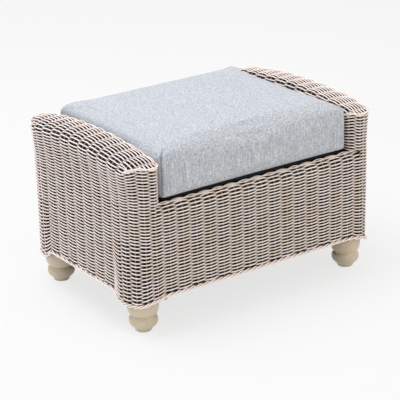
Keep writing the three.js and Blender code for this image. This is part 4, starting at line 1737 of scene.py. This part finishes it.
@dataclass
class BoxCushion:
    """The loose cushion: a crowned box of melange cloth, swelled by simulation, with corner seams."""

    cloth: MelangeCloth = field(default_factory=MelangeCloth)
    half_width: float = 0.252  # soft sides lean on the arms, a little outside the CAD solid
    half_depth: float = 0.214
    bottom: float = 0.3042
    edge_top: float = 0.407
    crown: float = 0.012  # the top's middle is this far above its edge
    crown_sharpness: float = 0.4
    corner: float = 0.009  # radius of the upright corners
    roll: float = 0.016  # radius of the rolled upper edge
    drawn_in: float = 0.002  # the sides pull in by this much between the corners
    inset: float = 0.001  # the shape starts this much smaller and swells
    corner_points: int = 7
    side_points: int = 22  # of a side, with the two where the corners end
    roll_turns: tuple[int, ...] = (0, 20, 40, 60, 80)  # degrees round the roll of the upper edge
    foot_turns: tuple[int, ...] = (90, 60, 30, 0)
    top_rings: tuple[float, ...] = (1.0, 1.6, 2.6, 4.0, 6.0, 8.5, 11.0, 13.5)  # inward, in rolls
    voxel: float = 0.0055
    pressure: float = 4.0
    frames: int = 20
    quality: int = 4
    cloth_mass: float = 0.3
    stiffness: float = 20.0
    bending: float = 2.0
    cap: float = 0.007  # no point of the cloth moves further than this
    held_height: float = 0.001  # the cloth stays put up to here above the cushion's bottom
    held_seam: float = 0.2  # and in front where it lies nearer to a seam than this share
    seam_depth: float = 0.0018
    seam_reach: float = 0.0045  # a seam sinks the cloth this far to both sides
    seam_foot: tuple[float, float] = (0.002, 0.008)  # heights above the bottom over which a seam starts
    seam_head: tuple[float, float] = (-0.004, 0.009)  # heights above the edge over which it ends

    def outline(self) -> np.ndarray:
        """The plan: a rounded rectangle whose sides pull in between the corners.

        Returns:
            One x and y for each point, once round.
        """
        points = []
        inner_x, inner_y = self.half_width - self.corner, self.half_depth - self.corner
        for quarter, (sx, sy) in enumerate([(1, -1), (1, 1), (-1, 1), (-1, -1)]):
            for turn in np.radians(np.linspace(-90, 0, self.corner_points) + 90 * quarter):
                x = sx * inner_x + self.corner * math.cos(turn)
                points.append((x, sy * inner_y + self.corner * math.sin(turn)))
            for t in np.linspace(-1, 1, self.side_points)[1:-1]:
                pull = self.drawn_in * (1 - t * t)
                if quarter % 2 == 0:
                    points.append((sx * (self.half_width - pull), sx * inner_y * t))
                else:
                    points.append((-sy * inner_x * t, sy * (self.half_depth - pull)))
        return np.array(points)

    def _crown_at(self, x: np.ndarray, y: np.ndarray) -> np.ndarray:
        """Rise of the top above its edge.

        Args:
            x: places along the long side.
            y: places from front to back.

        Returns:
            The rise at each place.
        """
        across = np.clip(1 - (x / self.half_width) ** 2, 0, 1)
        along = np.clip(1 - (y / self.half_depth) ** 2, 0, 1)
        return self.crown * (across * along) ** self.crown_sharpness

    def _start_shape(self) -> bpy.types.Object:
        """Makes the closed form that the simulation starts from.

        Returns:
            Its mesh object.
        """
        outline = self.outline()
        low, high = self.bottom, self.edge_top - self.inset
        rings = []

        def ring(shrink: float, z_at: Callable[[np.ndarray, np.ndarray], np.ndarray | float]) -> None:
            """Adds one ring.

            Args:
                shrink: how much smaller than the outline it is.
                z_at: gives its heights from x and y.
            """
            x = outline[:, 0] * (1 - (shrink + self.inset) / self.half_width)
            y = outline[:, 1] * (1 - (shrink + self.inset) / self.half_depth)
            rings.append(as_points(x, y, z_at(x, y)))

        foot_roll = self.roll / 3
        ring(2 * foot_roll, lambda x, y: low)
        for turn in np.radians(self.foot_turns):
            rise = foot_roll * (1 - math.sin(turn))
            ring(foot_roll * (1 - math.cos(turn)), lambda x, y, rise=rise: low + rise)
        ring(0, lambda x, y: (low + high) / 2)
        for turn in np.radians(self.roll_turns):
            share = math.sin(turn)
            fall = self.roll * (share - 1)
            shrink = self.roll * (1 - math.cos(turn))
            ring(shrink, lambda x, y, f=fall, s=share: high + f + self._crown_at(x, y) * s)
        for shrink in self.top_rings:
            ring(shrink * self.roll, lambda x, y: high + self._crown_at(x, y))
        return mesh_object("cushion", np.vstack(rings), [], ring_faces(len(rings), len(outline)))

    def _simulate(self, made: bpy.types.Object) -> None:
        """Swells the cloth with air pressure and keeps the result in the mesh.

        Args:
            made: the remeshed cushion.
        """
        rest = read_points(made.data)
        held = made.vertex_groups.new(name="held")
        at_foot = rest[:, 2] < self.bottom + self.held_height
        at_front_seam = (self._seam_share(rest) > self.held_seam) & (rest[:, 1] < 0)
        held.add([int(i) for i in np.flatnonzero(at_foot | at_front_seam)], 1.0, "REPLACE")
        cloth = made.modifiers.new("cloth", "CLOTH")
        cloth.settings.vertex_group_mass = "held"
        cloth.settings.use_pressure = True
        cloth.settings.uniform_pressure_force = self.pressure
        cloth.settings.effector_weights.gravity = 0
        cloth.settings.quality = self.quality
        cloth.settings.mass = self.cloth_mass
        cloth.settings.tension_stiffness = self.stiffness
        cloth.settings.compression_stiffness = self.stiffness
        cloth.settings.bending_stiffness = self.bending
        cloth.collision_settings.use_collision = False
        cloth.point_cache.frame_start = 1
        cloth.point_cache.frame_end = self.frames
        scene = bpy.context.scene
        for frame_number in range(1, self.frames + 1):
            scene.frame_set(frame_number)
        seen = made.evaluated_get(bpy.context.evaluated_depsgraph_get())
        move = read_points(seen.data) - rest
        length = np.linalg.norm(move, axis=1)
        share = np.minimum(1, self.cap / np.maximum(length, 1e-9))
        made.modifiers.clear()
        made.data.vertices.foreach_set("co", (rest + move * share[:, None]).ravel())
        scene.frame_set(1)

    def _seam_share(self, co: np.ndarray) -> np.ndarray:
        """Tells how near each point lies to an upright corner seam.

        Args:
            co: one point in each row.

        Returns:
            From 0 to 1, on the seam, for each point.
        """
        seam = np.zeros(len(co))
        started = smoothstep(co[:, 2] - self.bottom, *self.seam_foot)
        ended = smoothstep(co[:, 2] - self.edge_top, *self.seam_head)
        upright = started * (1 - ended)
        for sx in (-1, 1):
            for sy in (-1, 1):
                bend = np.array([sx * (self.half_width - self.corner), sy * (self.half_depth - self.corner)])
                away = (co[:, :2] - bend) * np.array([sx, sy])
                across = np.abs(away[:, 0] - away[:, 1]) / math.sqrt(2)
                outside = (away[:, 0] > -self.corner) & (away[:, 1] > -self.corner)
                near = np.exp(-((across / self.seam_reach * 2) ** 2))
                seam = np.maximum(seam, near * outside * upright)
        return seam

    def _settle(self, made: bpy.types.Object) -> None:
        """Keeps the cushion clear of the arms and the seat board, and sinks its corner seams.

        Args:
            made: the finished cushion mesh.
        """
        co = read_points(made.data)
        co[:, 0] = np.clip(co[:, 0], -self.half_width, self.half_width)
        co[:, 2] = np.maximum(co[:, 2], self.bottom)
        seam = self._seam_share(co)
        inward = -co * np.array([1.0, 1.0, 0.0])
        inward /= np.maximum(np.linalg.norm(inward, axis=1), 1e-6)[:, None]
        co += inward * (self.seam_depth * seam)[:, None]
        made.data.vertices.foreach_set("co", co.ravel())
        # the seam share is also carried for the cloth's painted shade in the seams
        carried = made.data.attributes.new("seam", "FLOAT", "POINT")
        carried.data.foreach_set("value", seam.astype(np.float32))
        made.data.update()

    def build(self) -> bpy.types.Object:
        """Makes the cushion.

        Returns:
            The cushion.
        """
        made = self._start_shape()
        remesh = made.modifiers.new("remesh", "REMESH")
        remesh.mode = "VOXEL"
        remesh.voxel_size = self.voxel
        flatten_modifiers(made)
        self._simulate(made)
        finer = made.modifiers.new("finer", "SUBSURF")
        finer.levels = finer.render_levels = 1
        flatten_modifiers(made)
        self._settle(made)
        made.data.materials.clear()
        made.data.materials.append(self.cloth.build())
        shade_smooth(made)
        place(made, "cushion", "cushion_fabric", "cushion_cover", "cushion_foam")
        return made


@dataclass
class BackZip:
    """A closed coil zip along the cushion's back, between two folded edges of the cloth."""

    finish: CoilZip = field(default_factory=CoilZip)
    cloth: MelangeCloth = field(default_factory=MelangeCloth)
    half_length: float = 0.190
    height: float = 0.360
    pitch: float = 0.0020  # length of one turn of the coil
    turn_points: int = 8
    half_width: float = 0.0012
    wire: float = 0.0009
    lip: float = 0.0030  # thickness of the folded edges
    lip_offset: float = 0.0024
    pull_length: float = 0.020
    pull_half_width: float = 0.003
    pull_girth: float = 1.4  # against the coil's wire, like the slider's
    slider: tuple[float, ...] = (-0.0040, -0.0034, 0.0034, 0.0040)  # along the zip, round its middle
    slider_girth: float = 4.2
    slider_inset: float = 0.008  # its middle is this far from the zip's closed end
    depth: float = 0.0006  # of the coil, in and out
    slider_out: float = 0.0008
    pull_out: float = 0.003
    lip_sunk: float = 0.0004
    back: tuple[float, float, float] = (0.0, 1.0, 0.0)
    behind: float = 1.0  # a place well behind the cushion

    def _line(
        self, cushion: bpy.types.Object, x: np.ndarray, z: np.ndarray | float, out: np.ndarray | float
    ) -> np.ndarray:
        """Points over the cushion's back.

        Args:
            cushion: the finished cushion.
            x: places along the back.
            z: a height for each place, or one for all.
            out: distance outside the cloth.

        Returns:
            One point for each place.
        """
        forward = -Vector(self.back)
        y = [cushion.ray_cast((float(a), self.behind, self.height), forward)[1].y for a in x]
        return as_points(x, np.array(y) + out, z)

    def build(self, cushion: bpy.types.Object) -> None:
        """Makes the coil with its slider, and the two folded edges.

        Args:
            cushion: the finished cushion.
        """
        x = np.arange(-self.half_length, self.half_length, self.pitch / self.turn_points)
        coil = StrandBundle()
        for half_turn in range(2):
            turn = 2 * math.pi * x / self.pitch + math.pi * half_turn
            z = self.height + self.half_width * np.sin(turn)
            coil.add_still(self._line(cushion, x, z, self.depth * np.cos(turn)), self.back)
        self._add_slider(cushion, coil)
        wire = StrandTree(diameter=self.wire, unevenness=0.0, wander=0.0, sides=5)
        made = wire.weave(coil, "zip_coil", self.finish.build())
        place(made, "cushion", "zip", "cushion_zip")

        lips = StrandBundle()
        once_a_turn = x[:: self.turn_points]
        for side in (-1, 1):
            z = self.height + side * self.lip_offset
            lips.add_still(self._line(cushion, once_a_turn, z, -self.lip_sunk), self.back)
        folded = StrandTree(diameter=self.lip, unevenness=0.1, wander=0.0002, sides=10)
        made = folded.weave(lips, "zip_folded_edges", self.cloth.build())
        place(made, "cushion", "cushion_fabric")

    def _add_slider(self, cushion: bpy.types.Object, coil: StrandBundle) -> None:
        """Adds the slider at the closed end and its wire pull.

        Args:
            cushion: the finished cushion.
            coil: the zip's strands.
        """
        end = self.half_length - self.slider_inset
        body = self._line(cushion, end + np.array(self.slider), self.height, self.slider_out)
        coil.add_still(body, self.back, girth=self.slider_girth)
        turn = np.linspace(0, 2 * math.pi, 25)
        x = end + self.pull_half_width * np.sin(turn)
        z = self.height - 0.5 * self.pull_length * (1 - np.cos(turn))
        coil.add_still(self._line(cushion, x, z, self.pull_out), self.back, girth=self.pull_girth)


# Room


@dataclass(frozen=True)
class Lamp:
    """A large square lamp aimed at the stool."""

    name: str
    spot: tuple[float, float, float]
    power: float  # in watts
    colour: str
    size: float = 2.6
    aim_height: float = 0.2

    def build(self) -> None:
        """Hangs the lamp in its place."""
        lamp = bpy.data.lights.new(self.name, "AREA")
        lamp.size = self.size
        lamp.energy = self.power
        lamp.color = linear(self.colour)[:3]
        made = bpy.data.objects.new(self.name, lamp)
        made.location = self.spot
        towards = Vector((0, 0, self.aim_height)) - Vector(self.spot)
        made.rotation_euler = towards.to_track_quat("-Z", "Y").to_euler()
        bpy.context.scene.collection.objects.link(made)


@dataclass(frozen=True)
class Studio:
    """Plain floor, soft lamps and the camera."""

    key: Lamp = Lamp("key", (-0.9, 0.7, 3.5), 92.0, "#F8F7FF")
    fill: Lamp = Lamp("fill", (0.9, -3.2, 2.0), 23.0, "#FFEFDC")
    ambient: float = 0.6  # strength of the even light from all round
    floor_half: float = 14.0
    background: str = "#F5F5F5"
    glow: float = 0.81  # share of the background's colour that the camera always sees on the floor
    shade: float = 0.22  # share of the lamps' light and of the stool's shadow that it sees there
    yaw: float = -0.6052
    pitch: float = 0.370
    roll: float = -0.0267
    distance: float = 3.8446
    shift: tuple[float, float] = (-0.0097, 0.1662)
    focal_pixels: float = 1644.2
    image_pixels: int = 400
    sensor: float = 36.0
    sight: float = 60.0  # the camera sees this far

    def build(self) -> None:
        """Makes the floor, the lamps, the world and the camera."""
        self._floor()
        self._world()
        self.key.build()
        self.fill.build()
        self._camera()
        bpy.context.scene.view_settings.view_transform = "Standard"

    def _floor(self) -> None:
        """Adds the plain pale floor; the camera sees the background's colour with a light shadow on it."""
        points = self.floor_half * np.array([(-1, -1, 0), (1, -1, 0), (1, 1, 0), (-1, 1, 0)])
        floor = mesh_object("floor", points, [], [(0, 1, 2, 3)])
        material = bpy.data.materials.new("floor_paper")
        material.use_nodes = True
        tree = material.node_tree
        shader = tree.nodes["Principled BSDF"]
        paper = linear(self.background)
        feed(tree, shader, {"Base Color": paper, "Roughness": 1.0, "Specular IOR Level": 0.0})
        shaded_paper = tuple(self.shade * value for value in paper[:3]) + (1.0,)
        shaded = add_node(tree, "ShaderNodeBsdfDiffuse", {"Color": shaded_paper})
        glow = add_node(tree, "ShaderNodeEmission", {"Color": paper, "Strength": self.glow})
        seen = add_node(tree, "ShaderNodeAddShader", {0: shaded.outputs[0], 1: glow.outputs[0]})
        sources = {0: self._looked_at(tree), 1: shader.outputs[0], 2: seen.outputs[0]}
        mixed = add_node(tree, "ShaderNodeMixShader", sources)
        feed(tree, tree.nodes["Material Output"], {"Surface": mixed.outputs[0]})
        floor.data.materials.append(material)

    def _looked_at(self, tree: bpy.types.NodeTree) -> bpy.types.NodeSocket:
        """Tells the camera's own light from the rest.

        Args:
            tree: the shader tree.

        Returns:
            1 where the camera looks, also by way of a mirror or through glass, and 0 for other light.
        """
        path = add_node(tree, "ShaderNodeLightPath").outputs
        seen = path["Is Camera Ray"]
        for kind in ("Is Glossy Ray", "Is Transmission Ray"):
            seen = add_node(tree, "ShaderNodeMath", {0: seen, 1: path[kind]}, operation="MAXIMUM").outputs[0]
        return seen

    def _world(self) -> None:
        """Lights the room evenly; the camera sees the background colour instead."""
        world = bpy.data.worlds.new("studio")
        world.use_nodes = True
        tree = world.node_tree
        tree.nodes.clear()
        lit = add_node(tree, "ShaderNodeBackground", {"Color": linear("#FFFFFF"), "Strength": self.ambient})
        seen = add_node(tree, "ShaderNodeBackground", {"Color": linear(self.background), "Strength": 1.0})
        sources = {0: self._looked_at(tree), 1: lit.outputs[0], 2: seen.outputs[0]}
        mixed = add_node(tree, "ShaderNodeMixShader", sources)
        add_node(tree, "ShaderNodeOutputWorld", {"Surface": mixed.outputs[0]})
        bpy.context.scene.world = world

    def _camera(self) -> None:
        """Sets the camera at the photograph's angle."""
        flat = math.cos(self.pitch)
        back = Vector((math.sin(self.yaw) * flat, -math.cos(self.yaw) * flat, math.sin(self.pitch)))
        forward = -back
        right = forward.cross(Vector((0, 0, 1))).normalized()
        up = right.cross(forward)
        turned_right = right * math.cos(self.roll) + up * math.sin(self.roll)
        turned_up = up * math.cos(self.roll) - right * math.sin(self.roll)
        spot = turned_right * self.shift[0] + turned_up * self.shift[1] + back * self.distance
        lens = bpy.data.cameras.new("camera")
        lens.sensor_width = self.sensor
        lens.lens = self.focal_pixels / self.image_pixels * self.sensor
        lens.clip_end = self.sight
        camera = bpy.data.objects.new("camera", lens)
        axes = Matrix((turned_right, turned_up, back)).transposed().to_4x4()
        camera.matrix_world = Matrix.Translation(spot) @ axes
        bpy.context.scene.collection.objects.link(camera)
        bpy.context.scene.camera = camera


def dress_woodwork() -> None:
    """Gives the CAD pieces that stay their real finish."""
    finishes = {
        "foot_bolt": ZincSteel(),
        "corner_block": SawnSoftwood(),
        "board_batten": SawnSoftwood(),
        "seat_board": BlackDustCloth(),
    }
    for name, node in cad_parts.items():
        finish = next((f for prefix, f in finishes.items() if name.startswith(prefix)), PeeledPole())
        if not node.material_slots:
            node.data.materials.append(finish.build())
        for slot in node.material_slots:
            slot.material = finish.build()
        LOG.info("%s: %s", name, finish.name)


def main() -> None:
    """Builds the whole scene."""
    logging.basicConfig(level=logging.INFO, format="%(message)s")
    Studio().build()
    dress_woodwork()
    TurnedFoot().build()
    body = WovenBody()
    body.build()
    ClothLining(body).build()
    BackZip().build(BoxCushion().build())


if __name__ == "__main__":
    main()
